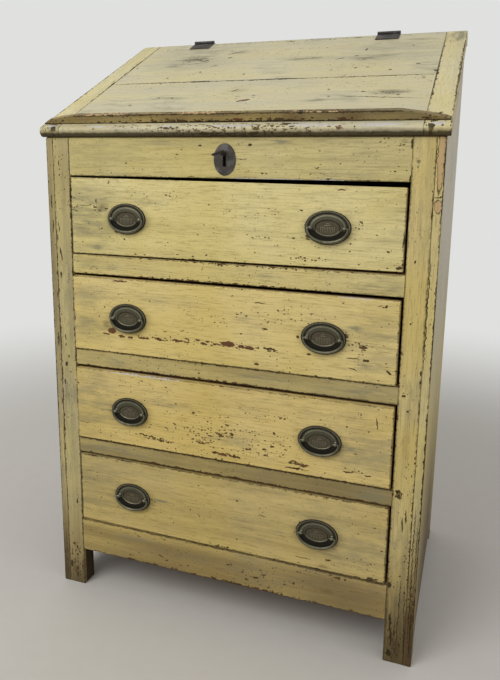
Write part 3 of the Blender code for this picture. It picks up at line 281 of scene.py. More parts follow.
LEFT_POST_MARKS = marks(
    dark=[(-0.339, 0.752, 0.0012, 0.008, 5), (-0.3435, 0.735, 0.001, 0.010, 6),
          (-0.3112, 0.812, 0.0012, 0.012), (-0.3112, 0.735, 0.0012, 0.010), (-0.3112, 0.665, 0.0012, 0.012),
          (-0.334, 0.535, 0.0016, 0.005), (-0.334, 0.5205, 0.0014, 0.003), (-0.339, 0.4435, 0.0014, 0.004),
          (-0.341, 0.041, 0.002, 0.010), (-0.322, 0.187, 0.0016, 0.006), (-0.336, 0.70, 0.0014, 0.012, 8),
          (-0.338, 0.66, 0.0014, 0.008), (-0.334, 0.48, 0.0024, 0.005)],
    chip=[(-0.328, 0.496, 0.0016, 0.003), (-0.326, 0.465, 0.0016, 0.002)],
    chips=[(-0.3115, 0.55, 0.0022, 0.36, 0, 1.1), (-0.3455, 0.50, 0.0022, 0.45, 0, 1.1),
           (-0.330, 0.060, 0.018, 0.070, 0, 0.7)],
    film=[(-0.330, 0.55, 0.050, 0.50, 0, 0.7), (-0.340, 0.3935, 0.006, 0.040)],
    brown=[(-0.330, 0.0, 0.070, 0.34, 0, 0.85), (-0.330, 0.86, 0.03, 0.12, 0, 0.4)],
    soot=[(-0.330, -0.01, 0.050, 0.10, 0, 0.9), (-0.314, 0.03, 0.005, 0.06, 0, 0.9)],
)
# Low on the front edges of the sides the same darkening: wear and grime, partly painted shade
LEFT_EDGE_MARKS = marks(
    dark=[(-0.359, 0.563, 0.001, 0.010), (-0.3525, 0.80, 0.0012, 0.012), (-0.3515, 0.752, 0.0015, 0.010),
          (-0.350, 0.53, 0.0015, 0.012), (-0.3475, 0.30, 0.0008, 0.05)],
    chips=[(-0.3475, 0.50, 0.002, 0.46, 0, 0.7), (-0.359, 0.50, 0.0018, 0.46, 0, 0.9),
           (-0.353, 0.060, 0.008, 0.080, 0, 0.7)],
    brown=[(-0.3532, 0.02, 0.020, 0.36, 0, 1.1), (-0.3532, 0.70, 0.016, 0.30, 0, 0.5)],
    soot=[(-0.3545, 0.0, 0.020, 0.20, 0, 0.9)],
    film=[(-0.353, 0.50, 0.020, 0.60, 0, 0.8)],
)
RIGHT_EDGE_MARKS = marks(
    bare=[(0.3532, 0.885, 0.0088, 0.062), (0.3535, 0.812, 0.0078, 0.017, 0, 0.9)],
    dark=[(0.3532, 0.826, 0.006, 0.0010, 10), (0.3475, 0.64, 0.0006, 0.14), (0.3595, 0.62, 0.0007, 0.12),
          (0.3595, 0.36, 0.0008, 0.14), (0.3592, 0.865, 0.0010, 0.060), (0.3512, 0.13, 0.0007, 0.08),
          (0.3560, 0.21, 0.0007, 0.07), (0.3548, 0.06, 0.0010, 0.05), (0.3505, 0.24, 0.0008, 0.05)],
    chips=[(0.3532, 0.930, 0.008, 0.006, 0, 0.9), (0.3592, 0.88, 0.0012, 0.05, 0, 0.9),
           (0.3532, 0.690, 0.007, 0.070, 0, 0.35), (0.348, 0.30, 0.002, 0.24, 0, 0.45),
           (0.359, 0.40, 0.0018, 0.36, 0, 0.8), (0.3532, 0.100, 0.008, 0.120, 0, 0.6)],
    brown=[(0.3532, 0.02, 0.024, 0.40, 0, 1.5)],
    soot=[(0.3532, 0.0, 0.024, 0.22, 0, 0.8)],
    film=[(0.3532, 0.16, 0.024, 0.34, 0, 1.2)],
)
# The right side is paler high up, grey paint with a painted sheen that reflects a pale wall, and darker low
# down, browned paint with painted shade
RIGHT_SIDE_MARKS = marks(
    dark=[(0.025, 0.20, 0.050, 0.0008, 86), (-0.180, 0.77, 0.030, 0.0008, -70),
          (-0.080, 0.65, 0.055, 0.0007, 80)],
    brown=[(0.0, 0.05, 0.44, 0.55, 0, 1.1)],
    soot=[(0.0, -0.05, 0.50, 0.55, 0, 0.8)],
    bleach=[(0.0, 0.95, 0.60, 0.62, 0, 0.75)],
    chips=[(-0.210, 0.45, 0.008, 0.45, 0, 0.9), (0.0, 0.04, 0.25, 0.030, 0, 0.9)],
)
# The left side is darker low down: browned paint with painted shade
LEFT_SIDE_MARKS = marks(
    dark=[(0.050, 0.52, 0.120, 0.0008, 88)],
    brown=[(0.0, 0.10, 0.44, 0.65, 0, 1.4)],
    soot=[(0.0, -0.05, 0.50, 0.55, 0, 0.6)],
    film=[(0.0, 0.75, 0.36, 0.30, 0, 0.6)],
    chips=[(-0.210, 0.45, 0.008, 0.45, 0, 0.9), (0.0, 0.04, 0.25, 0.030, 0, 0.9)],
)
LID_MARKS = marks(
    dark=[(-0.215, 0.2235, 0.110, 0.0015), (0.0, 0.2235, 0.110, 0.0015), (0.215, 0.2235, 0.110, 0.0015),
          (-0.125, 0.2245, 0.030, 0.0022), (0.045, 0.2245, 0.034, 0.0022),
          (-0.171, 0.338, 0.023, 0.0014, 12), (-0.173, 0.352, 0.016, 0.0014, -30),
          (-0.130, 0.316, 0.009, 0.0014, 20), (-0.113, 0.3655, 0.006, 0.0018, 20),
          (-0.106, 0.401, 0.020, 0.0012, 35), (-0.0345, 0.170, 0.0075, 0.0015, 50),
          (0.011, 0.1425, 0.004, 0.0016), (0.132, 0.329, 0.0085, 0.0020, 20), (0.163, 0.342, 0.005, 0.0016),
          (0.182, 0.3195, 0.004, 0.0016), (0.176, 0.3795, 0.0014, 0.008),
          (0.288, 0.283, 0.005, 0.0016, -20), (0.196, 0.273, 0.004, 0.0012),
          (0.2415, 0.120, 0.060, 0.0012, -7), (0.210, 0.1475, 0.005, 0.0016)],
    chip=[(-0.291, 0.444, 0.0022, 0.0018), (-0.272, 0.442, 0.0022, 0.0018), (-0.195, 0.389, 0.002, 0.0022),
          (-0.211, 0.2505, 0.0024, 0.0022), (-0.314, 0.319, 0.0024, 0.0028), (-0.224, 0.195, 0.0022, 0.002),
          (-0.181, 0.141, 0.0024, 0.0028), (-0.151, 0.137, 0.0024, 0.0028), (-0.226, 0.106, 0.0024, 0.0028),
          (-0.149, 0.280, 0.0024, 0.0028), (-0.047, 0.259, 0.0024, 0.0028), (0.075, 0.3395, 0.0024, 0.0028),
          (0.267, 0.393, 0.0024, 0.0028), (0.240, 0.255, 0.0024, 0.0028), (0.128, 0.264, 0.0024, 0.0028),
          (0.174, 0.271, 0.0024, 0.0028), (0.322, 0.242, 0.004, 0.004), (0.146, 0.1615, 0.0024, 0.0028),
          (0.152, 0.129, 0.0024, 0.0028)],
    rust=[(-0.002, 0.118, 0.0095, 0.004, 25)],
    # The pale marks 0.0085 up, along the lid's rounded front edge, are flaking grey undercoat and a painted
    # highlight
    pale=[(-0.002, 0.118, 0.016, 0.009, 25, 0.8), (-0.24, 0.0085, 0.05, 0.006, 0, 0.7),
          (-0.12, 0.0085, 0.05, 0.006, 0, 0.6), (0.02, 0.0085, 0.06, 0.006, 0, 0.9),
          (0.15, 0.0085, 0.06, 0.006, 0, 1.2), (0.26, 0.0085, 0.06, 0.006, 0, 1.2)],
    brown=[(-0.26, 0.010, 0.12, 0.014, 0, 0.35)],
    stain=[(-0.224, 0.327, 0.035, 0.018, 0, 1.5), (-0.19, 0.365, 0.060, 0.026, 0, 1.4),
           (-0.095, 0.402, 0.040, 0.016, 0, 1.5), (0.06, 0.340, 0.08, 0.020, 0, 1.1),
           (0.20, 0.330, 0.07, 0.025, 0, 1.1), (0.256, 0.143, 0.045, 0.020, 0, 1.5),
           (0.127, 0.1135, 0.040, 0.012), (-0.11, 0.2251, 0.055, 0.003, 0, 1.4),
           (0.042, 0.2253, 0.055, 0.003, 0, 1.4), (-0.16, 0.140, 0.09, 0.02, 0, 0.6),
           (0.28, 0.42, 0.05, 0.03, 0, 0.8), (-0.03, 0.17, 0.04, 0.02, 0, 0.5)],
    chips=[(0.0, 0.222, 0.320, 0.003, 0, 0.8), (0.250, 0.130, 0.060, 0.020, 0, 0.6),
           (-0.190, 0.360, 0.060, 0.025, 0, 0.5), (0.0, 0.008, 0.360, 0.012, 0, 0.9),
           (0.0, 0.462, 0.320, 0.006, 0, 0.8)],
    film=[(-0.20, 0.36, 0.16, 0.14, 0, 0.5), (0.22, 0.36, 0.16, 0.12, 0, 0.4)],
)
CLEAT_MARKS = marks(
    chips=[(-0.345, 0.012, 0.024, 0.016, 0, 1.0), (0.345, 0.012, 0.024, 0.016, 0, 0.9),
           (-0.327, 0.24, 0.003, 0.24, 0, 0.8), (0.327, 0.24, 0.003, 0.24, 0, 0.8),
           (0.3635, 0.24, 0.003, 0.24, 0, 1.3), (-0.3635, 0.24, 0.003, 0.24, 0, 1.0)],
    dark=[(0.336, 0.004, 0.004, 0.005), (-0.337, 0.005, 0.004, 0.005), (0.325, 0.24, 0.0007, 0.24, 0, 0.7),
          (-0.325, 0.24, 0.0007, 0.24, 0, 0.7)],
    stain=[(0.345, 0.43, 0.030, 0.050), (-0.345, 0.03, 0.03, 0.04)],
    film=[(-0.345, 0.02, 0.05, 0.06), (0.355, 0.45, 0.03, 0.05)],
    pale=[(0.345, 0.010, 0.020, 0.007), (-0.345, 0.012, 0.020, 0.006)],
    chip=[(-0.333, 0.243), (0.346, 0.050, 0.004, 0.002, 30)],
)
LEDGE_MARKS = marks(
    bare=[(-0.23, 0.0165, 0.11, 0.0014, 0, 0.62), (-0.05, 0.0165, 0.10, 0.0014, 0, 0.58),
          (0.15, 0.0165, 0.14, 0.0014, 0, 0.52)],
    brown=[(0.12, 0.008, 0.035, 0.012, 0, 0.9), (0.215, 0.008, 0.035, 0.012, 0, 0.9),
           (-0.10, 0.008, 0.05, 0.01, 0, 0.6)],
    dark=[(0.0, 0.0, 0.37, 0.0014), (0.131, 0.0155, 0.003, 0.002)],
    chips=[(0.0, 0.004, 0.35, 0.004, 0, 1.0), (0.34, 0.006, 0.04, 0.010, 0, 0.8),
           (-0.34, 0.006, 0.04, 0.010, 0, 0.8)],
)
RAIL_MARKS = marks(
    chips=[(0.0, 0.001, 0.300, 0.003, 0, 0.9), (0.05, 0.034, 0.26, 0.003, 0, 0.5)],
    stain=[(-0.20, 0.015, 0.120, 0.012, 0, 0.7), (0.26, 0.015, 0.060, 0.014, 0, 0.7),
           (0.06, 0.018, 0.1, 0.006, 0, 0.5)],
    film=[(-0.28, 0.015, 0.07, 0.03, 0, 0.5), (0.28, 0.015, 0.06, 0.03, 0, 0.4)],
)

# Age is higher on the lower boards: older paint, and partly painted shade, darker towards the bottom
BOARDS = (
    Board("left_side", "z", "left", 0.009, 0.55, 0.3, 0.10, 0.3, 0.5, 0.0012, LEFT_SIDE_MARKS,
          LEFT_EDGE_MARKS),
    Board("right_side", "z", "right", 0.009, 0.25, 0.3, 0.05, 0.3, 0.4, 0.0012, RIGHT_SIDE_MARKS,
          RIGHT_EDGE_MARKS),
    Board("left_front_post", "z", "front", 0.006, 0.45, 0.2, 0.10, 0.35, 0.6, 0.0008, LEFT_POST_MARKS),
    Board("right_front_post", "z", "front", 0.006, 0.25, 0.5, 0.0, 0.30, 0.5, 0.0008, RIGHT_POST_MARKS),
    Board("top_rail", "x", "front", 0.030, 0.28, 0.1, 0.0, 0.15, 0.35, 0.0010, TOP_RAIL_MARKS),
    Board("drawer_rail_1", "x", "front", 0.004, 0.12, 0.3, 0.0, 0.30, 0.3, 0.0010, RAIL_MARKS),
    Board("drawer_rail_2", "x", "front", 0.004, 0.66, 0.3, 0.0, 0.35, 0.4, 0.0010, RAIL_MARKS),
    Board("drawer_rail_3", "x", "front", 0.004, 0.90, 0.4, 0.0, 0.35, 0.4, 0.0010, RAIL_MARKS),
    Board("bottom_rail", "x", "front", 0.004, 0.85, 0.8, 0.0, 0.35, 0.5, 0.0010, BOTTOM_RAIL_MARKS),
    Board("top_board", "x", "top", 0.015, 0.35, 0.1, 0.35, 0.4, 0.5, 0.0020),
    Board("drawer_1_front", "x", "front", 0.009, 0.03, 0.15, 0.0, 0.20, 0.2, 0.0, DRAWER_MARKS[1]),
    Board("drawer_2_front", "x", "front", 0.009, 0.0, 0.60, 0.0, 0.25, 0.2, 0.0, DRAWER_MARKS[2]),
    Board("drawer_3_front", "x", "front", 0.009, 0.06, 0.80, 0.0, 0.30, 0.3, 0.0, DRAWER_MARKS[3]),
    Board("drawer_4_front", "x", "front", 0.009, 0.44, 0.70, 0.0, 0.25, 0.4, 0.0, DRAWER_MARKS[4]),
    Board("lid_panel", "x", "top", 0.016, 0.08, 0.0, 0.55, 0.25, 0.6, 0.0006, LID_MARKS, (), LID_SPACE),
    Board("lid_left_cleat", "y", "top", 0.016, 0.0, 0.0, 0.30, 0.25, 0.15, 0.0008, CLEAT_MARKS, (),
          LID_SPACE),
    Board("lid_right_cleat", "y", "top", 0.016, 0.0, 0.1, 0.35, 0.25, 0.2, 0.0008, CLEAT_MARKS, (),
          LID_SPACE),
    Board("book_ledge", "x", "front", 0.030, 1.05, 0.6, 0.0, 0.50, 0.6, 0.0010, LEDGE_MARKS, (), LID_SPACE),
)

# Pine that was never painted: the way of its grain, and how far it has darkened
BARE_BOARDS = {"back_panel": ("z", 0.75), "well_floor": ("x", 0.45)}
for number in DRAWERS:
    for part in ("left_side", "right_side"):
        BARE_BOARDS[f"drawer_{number}_{part}"] = ("y", 0.25 + 0.05 * number)
    BARE_BOARDS[f"drawer_{number}_back"] = ("x", 0.35)
    BARE_BOARDS[f"drawer_{number}_bottom"] = ("x", 0.30)


# Settings

def colour(name, description, default):
    """A colour that a user can change."""
    return FloatVectorProperty(name=name, description=description, subtype="COLOR", size=3, min=0.0,
                               max=1.0, default=default)


def length(name, description, default):
    """A length that a user can change."""
    return FloatProperty(name=name, description=description, unit="LENGTH", min=0.0, precision=5,
                         default=default)


class DeskPaintSettings(bpy.types.PropertyGroup):
    """Colours of the old paint and of what shows through it."""

    body: colour("Paint", "Body colour of the ochre paint", (0.70, 0.60, 0.245))
    pale: colour("Pale paint", "Paint where it is thick and clean", (0.775, 0.68, 0.335))
    streak: colour("Streaks", "Dirt held in the brush marks", (0.32, 0.265, 0.095))
    stain: colour("Stain", "Grey green marks of hands and water", (0.23, 0.215, 0.135))
    warmth: colour("Warm tint", "Multiplies the paint where it has gone warmer", (0.94, 0.80, 0.60))
    # Aged paint also gives painted shade: low on the desk, and under the lid's front edge
    aged_and_shaded: colour("Aged paint", "Paint that has gone olive brown low on the desk", (0.20, 0.145, 0.058))
    faded: colour("Faded paint", "Paint bleached grey by light on the slope", (0.55, 0.525, 0.43))
    brown: colour("Brown wear", "Paint rubbed thin over brown wood", (0.155, 0.098, 0.040))
    # The grey ground also gives the painted sheen high on the right side and the painted highlight along the
    # lid's front edge
    ground: colour("Grey ground", "Pale grey undercoat in flakes and along edges", (0.58, 0.555, 0.515))
    # Grime is also the colour of painted shade and shadow: round the handles, low on the sides and posts, in
    # the keyhole and under the lid's front edge
    grime: colour("Grime", "Black dirt in joints and along edges", (0.028, 0.020, 0.008))
    chip: colour("Chips", "Old dark wood in the small chips", (0.058, 0.033, 0.012))
    rust: colour("Red chips", "Red brown primer in some chips", (0.11, 0.038, 0.018))
    bare: colour("Bare wood", "Wood where the paint is rubbed away", (0.56, 0.40, 0.20))


class DeskPineSettings(bpy.types.PropertyGroup):
    """Colours of the bare pine inside and behind the desk."""

    pale: colour("Pale pine", "Early wood between the rings", (0.53, 0.34, 0.165))
    ring: colour("Rings", "Late wood lines", (0.30, 0.155, 0.062))
    old: colour("Old pine", "Pine that has darkened with age", (0.20, 0.125, 0.062))
    dust: colour("Dust", "Grey dust and dirt on the wood", (0.14, 0.115, 0.085))


class DeskMetalSettings(bpy.types.PropertyGroup):
    """Colours of the handles, the lock and the hinges."""

    bronze: colour("Bronze", "Stamped brass gone dark grey green", (0.082, 0.076, 0.047))
    green_bronze: colour("Green bronze", "Darker green tarnish", (0.046, 0.044, 0.026))
    # Worn bronze also gives the painted highlights on the handles
    worn_bronze: colour("Worn bronze", "Brass on the rubbed high parts", (0.20, 0.19, 0.130))
    brown_bronze: colour("Brown bronze", "Brown tarnish in the middle oval", (0.118, 0.096, 0.060))
    # Dirt is also the colour of the painted shade and shadow on the handles
    dirt: colour("Dirt", "Black dirt in the grooves", (0.010, 0.008, 0.005))
    iron: colour("Iron", "Dark iron of the lock plate, key and hinges", (0.052, 0.048, 0.044))
    worn_iron: colour("Worn iron", "Iron rubbed brighter", (0.15, 0.147, 0.14))
    rust: colour("Rust", "Brown rust on the iron", (0.105, 0.058, 0.034))


class DeskHandleSettings(bpy.types.PropertyGroup):
    """Sizes of an oval handle."""

    rib_pitch: length("Rib pitch", "Distance between the ribs of the middle oval", 0.0028)
    rib_width: length("Rib width", "Width of one rib", 0.0012)
    rib_height: length("Rib height", "How far a rib stands off the middle oval", 0.0006)
    post_inset: length("Post inset", "From the end of the plate to the middle of a post", 0.0105)
    post_radius: length("Post radius", "Radius of the post that carries the bail", 0.0022)
    post_head: length("Post head", "Radius of the round head of a post", 0.0033)
    grip_radius: length("Grip radius", "Radius of the bail where it is held", 0.0026)
    arm_radius: length("Arm radius", "Radius of the bail at its posts", 0.0016)
    pin_radius: length("Pin radius", "Radius of the bail's turned-in ends", 0.0013)
    pin_length: length("Pin length", "From the side of the bail to the end of its pin", 0.0090)
    bend: length("Bend", "Radius of the bend between pin and bail", 0.0020)


class DeskLockSettings(bpy.types.PropertyGroup):
    """Sizes of the lock plate and the key."""

    keyhole_radius: length("Keyhole radius", "Round top of the keyhole", 0.0036)
    keyhole_width: length("Keyhole width", "Width of the slot under it", 0.0062)
    keyhole_drop: length("Keyhole drop", "From the key's axis to the foot of the slot", 0.0218)
    shank_radius: length("Shank radius", "Radius of the key's shank", 0.0030)
    collar_radius: length("Collar radius", "Radius of the collar on the shank", 0.0044)
    bow_bar: length("Bow bar", "Thickness of the key's bow", 0.0030)
    bow_length: length("Bow length", "Half the length of the bow along the key", 0.0090)
    bow_tip: FloatProperty(name="Bow tip", description="How far the bow is tipped to the left",
                           subtype="ANGLE", default=math.radians(18))


class DeskStageSettings(bpy.types.PropertyGroup):
    """Light, floor and background."""

    floor: colour("Floor", "Plain pale floor", (0.60, 0.58, 0.545))
    backdrop: colour("Backdrop", "What the camera sees behind the desk", (0.745, 0.752, 0.735))
    sky_colour: colour("Fill colour", "Colour of the light from all sides", (1.0, 0.985, 0.96))
    sky: FloatProperty(name="Fill light", description="Strength of the light from all sides", min=0.0,
                       default=0.52)
    key_light: FloatProperty(name="Key light", description="Power of the large lamp in front",
                             unit="POWER", min=0.0, default=62.0)
    side_light: FloatProperty(name="Side light", description="Power of the lamp on the right",
                              unit="POWER", min=0.0, default=8.0)


# Shader maths

class Value:
    """A socket in an expression. Python's operators on it add Math nodes."""

    def __init__(self, recipe, socket):
        self.recipe = recipe
        self.socket = socket

    def __add__(self, other):
        return self.recipe.math("ADD", self, other)

    def __radd__(self, other):
        return self.recipe.math("ADD", other, self)

    def __sub__(self, other):
        return self.recipe.math("SUBTRACT", self, other)

    def __rsub__(self, other):
        return self.recipe.math("SUBTRACT", other, self)

    def __mul__(self, other):
        return self.recipe.math("MULTIPLY", self, other)

    def least(self, other):
        return self.recipe.math("MINIMUM", self, other)

    def most(self, other):
        return self.recipe.math("MAXIMUM", self, other)

    def rise(self, low, high, top=1.0, foot=0.0):
        """foot up to low, top from high on, and a smooth slope between."""
        return self.recipe.add(
            "ShaderNodeMapRange", {"interpolation_type": "SMOOTHSTEP", "clamp": False},
            {"Value": self, "From Min": low, "From Max": high, "To Min": foot, "To Max": top})

    def fall(self, low, high, top=1.0):
        """top up to low, 0 from high on, and a smooth slope between."""
        return self.rise(low, high, 0.0, top)

    def output(self, name):
        """Another output of the same node."""
        return Value(self.recipe, self.socket.node.outputs[name])


def on_face(face, across, up, depth):
    """Three numbers that belong to a face, in the order of its board's axes."""
    numbers = [depth] * 3
    for axis, number in zip(FACE_AXES[face], (across, up)):
        numbers[axis] = number
    return numbers


def turn_on_face(face, degrees):
    """Turn of a mark in its face, from across towards up, as Euler angles."""
    looks_along_y = sum(FACE_AXES[face]) == 2
    return on_face(face, 0.0, 0.0, math.radians(-degrees if looks_along_y else degrees))


class Recipe:
    """Nodes that are being put together, for a material or for the world."""

    def __init__(self, owner):
        owner.use_nodes = True
        self.tree = owner.node_tree
        self.tree.nodes.clear()

    def add(self, kind, settings=None, inputs=None, output=0):
        """Add a node: its settings first, then the values or links of its sockets."""
        node = self.tree.nodes.new(kind)
        for name, value in (settings or {}).items():
            setattr(node, name, value)
        for name, value in (inputs or {}).items():
            if isinstance(value, Value):
                self.tree.links.new(value.socket, node.inputs[name])
            else:
                node.inputs[name].default_value = value
        return Value(self, node.outputs[output]) if len(node.outputs) else None

    def math(self, operation, *values):
        return self.add("ShaderNodeMath", {"operation": operation}, dict(enumerate(values)))

    def vector(self, operation, *values, output="Vector"):
        return self.add("ShaderNodeVectorMath", {"operation": operation}, dict(enumerate(values)),
                        output)

    def blend(self, share, first, second, mode="MIX"):
        """Mix two colours. First and second are Values or RGB colours."""
        sides = [side if isinstance(side, Value) else (*side, 1.0) for side in (first, second)]
        return self.add("ShaderNodeMix", {"data_type": "RGBA", "blend_type": mode},
                        {0: share, 6: sides[0], 7: sides[1]}, output=2)

    def parts(self, vector):
        """The three numbers of a vector."""
        first = self.add("ShaderNodeSeparateXYZ", inputs={0: vector})
        return [first.output(axis) for axis in range(3)]

    def mapped(self, vector, **settings):
        """A vector moved, turned or scaled by a Mapping node."""
        kind = settings.pop("kind", "POINT")
        inputs = {name.capitalize(): value for name, value in settings.items()}
        return self.add("ShaderNodeMapping", {"vector_type": kind}, {"Vector": vector, **inputs})

    def noise(self, vector, scale=1.0, detail=2.0, rough=0.5, warp=0.0, output=0):
        return self.add("ShaderNodeTexNoise", {}, {
            "Vector": vector, "Scale": scale, "Detail": detail, "Roughness": rough,
            "Distortion": warp}, output)

    def grained(self, spot, grain, along, across, seed):
        """Coordinates drawn out along the grain, with along and across waves in a metre."""
        scale = [along if axis == grain else across for axis in "xyz"]
        return self.mapped(spot, location=(seed * 7.3, seed * 3.1, seed * 5.7), scale=scale)

    def patch(self, spot, face, mark):
        """A single oval mark on a face, soft towards its edge."""
        local = self.mapped(spot, kind="TEXTURE", location=on_face(face, mark.across, mark.up, 0.0),
                            rotation=turn_on_face(face, mark.turn),
                            scale=on_face(face, mark.half_across, mark.half_up, PATCH_DEPTH))
        away = self.vector("LENGTH", local, output="Value")
        return away.fall(1.0 - PATCH_SOFTNESS, 1.0, mark.amount)

    def shapes(self, spot, groups):
        """Mask of each kind of mark. A group is its marks, their face and where they may lie.

        Marks of one proportion share their coordinates, and marks of one size their falloff.
        """
        spaces, nearest, found = {}, {}, {}
        for group, face, where in groups:
            for mark in group:
                slender = mark.half_across / mark.half_up
                ratio = min(RATIOS, key=lambda value: abs(math.log(value / slender)))
                half = math.sqrt(mark.half_across * mark.half_up / ratio) * GROWTH.get(mark.kind, 1.0)
                turn = turn_on_face(face, mark.turn)
                scale = on_face(face, ratio, 1.0, FLAT)
                centre = Vector(on_face(face, mark.across, mark.up, 0.0))
                centre = Euler(turn).to_matrix().transposed() @ centre
                centre = tuple(value / size for value, size in zip(centre, scale))
                space = (face, ratio, mark.turn)
                if space not in spaces:
                    spaces[space] = self.mapped(spot, kind="TEXTURE", rotation=turn, scale=scale)
                gap = self.vector("DISTANCE", spaces[space], centre, output="Value")
                size = (mark.kind, round(half, 6), mark.amount, face)
                if size in nearest:
                    gap = nearest[size][0].least(gap)
                nearest[size] = (gap, where)
        for (kind, half, amount, _), (gap, where) in nearest.items():
            shape = gap.fall(half * (1.0 - SOFTNESS[kind]), half, amount)
            if where is not None:
                shape = shape * where
            found[kind] = found[kind].most(shape) if kind in found else shape
        return found

    def flakes(self, spot, grain, along, across, seed, density):
        """Scattered flakes, at most one in each cell. Density is the share of cells with one."""
        cells = self.add("ShaderNodeTexVoronoi", {}, {
            "Vector": self.grained(spot, grain, along, across, seed), "Scale": 1.0})
        chance = self.parts(cells.output("Color"))[0]
        return ((density - chance) * 0.9 - cells).rise(-0.02, 0.05)


class Finish(Recipe):
    """A new material, on the Object coordinates of its piece."""

    def __init__(self, name):
        self.material = bpy.data.materials.new(name)
        super().__init__(self.material)
        self.spot = self.add("ShaderNodeTexCoord", output="Object")

    def surface(self, base, rough, height, depth, metal=0.0, specular=0.5):
        """Finish the material with a Principled shader and give it back."""
        bump = self.add("ShaderNodeBump", {}, {"Strength": 1.0, "Distance": depth, "Height": height})
        shader = self.add("ShaderNodeBsdfPrincipled", {}, {
            "Base Color": base, "Roughness": rough, "Metallic": metal, "Specular IOR Level": specular,
            "Normal": bump})
        return self.done(shader)

    def done(self, shader):
        """Show the material through a shader and give it back."""
        self.add("ShaderNodeOutputMaterial", {}, {"Surface": shader})
        return self.material


def edge_distance(spot_parts, low, high):
    """Distance to the nearest edge of a board, in the face that is being shaded."""
    first, second, third = [(value - low[axis]).least(high[axis] - value)
                            for axis, value in enumerate(spot_parts)]
    return first.least(second).most(first.most(second).least(third))


def pine_layers(recipe, spot, grain, age, seed):
    """Colour, roughness and height of bare pine."""
    pine = bpy.context.scene.desk_pine
    rings = recipe.noise(recipe.grained(spot, grain, 0.9, 26.0, seed), detail=2.0, warp=0.6)
    lines = recipe.math("PINGPONG", rings * 9.0, 0.5) * 2.0
    fibre = recipe.noise(recipe.grained(spot, grain, 14.0, 700.0, seed), detail=3.0, rough=0.6)
    cloud = recipe.noise(recipe.grained(spot, grain, 2.2, 11.0, seed), detail=4.0, rough=0.6)
    tone = recipe.blend(lines.rise(0.35, 0.95, 0.75), pine.pale, pine.ring)
    tone = recipe.blend(fibre.rise(0.45, 0.72, 0.35), tone, pine.ring)
    tone = recipe.blend(cloud.rise(0.25, 0.75, min(1.0, age * 1.3)), tone, pine.old)
    tone = recipe.blend(cloud.rise(0.52, 0.70, 0.5 * age), tone, pine.dust)
    return tone, 0.78 - fibre * 0.12, fibre * 0.6 + lines * 0.25


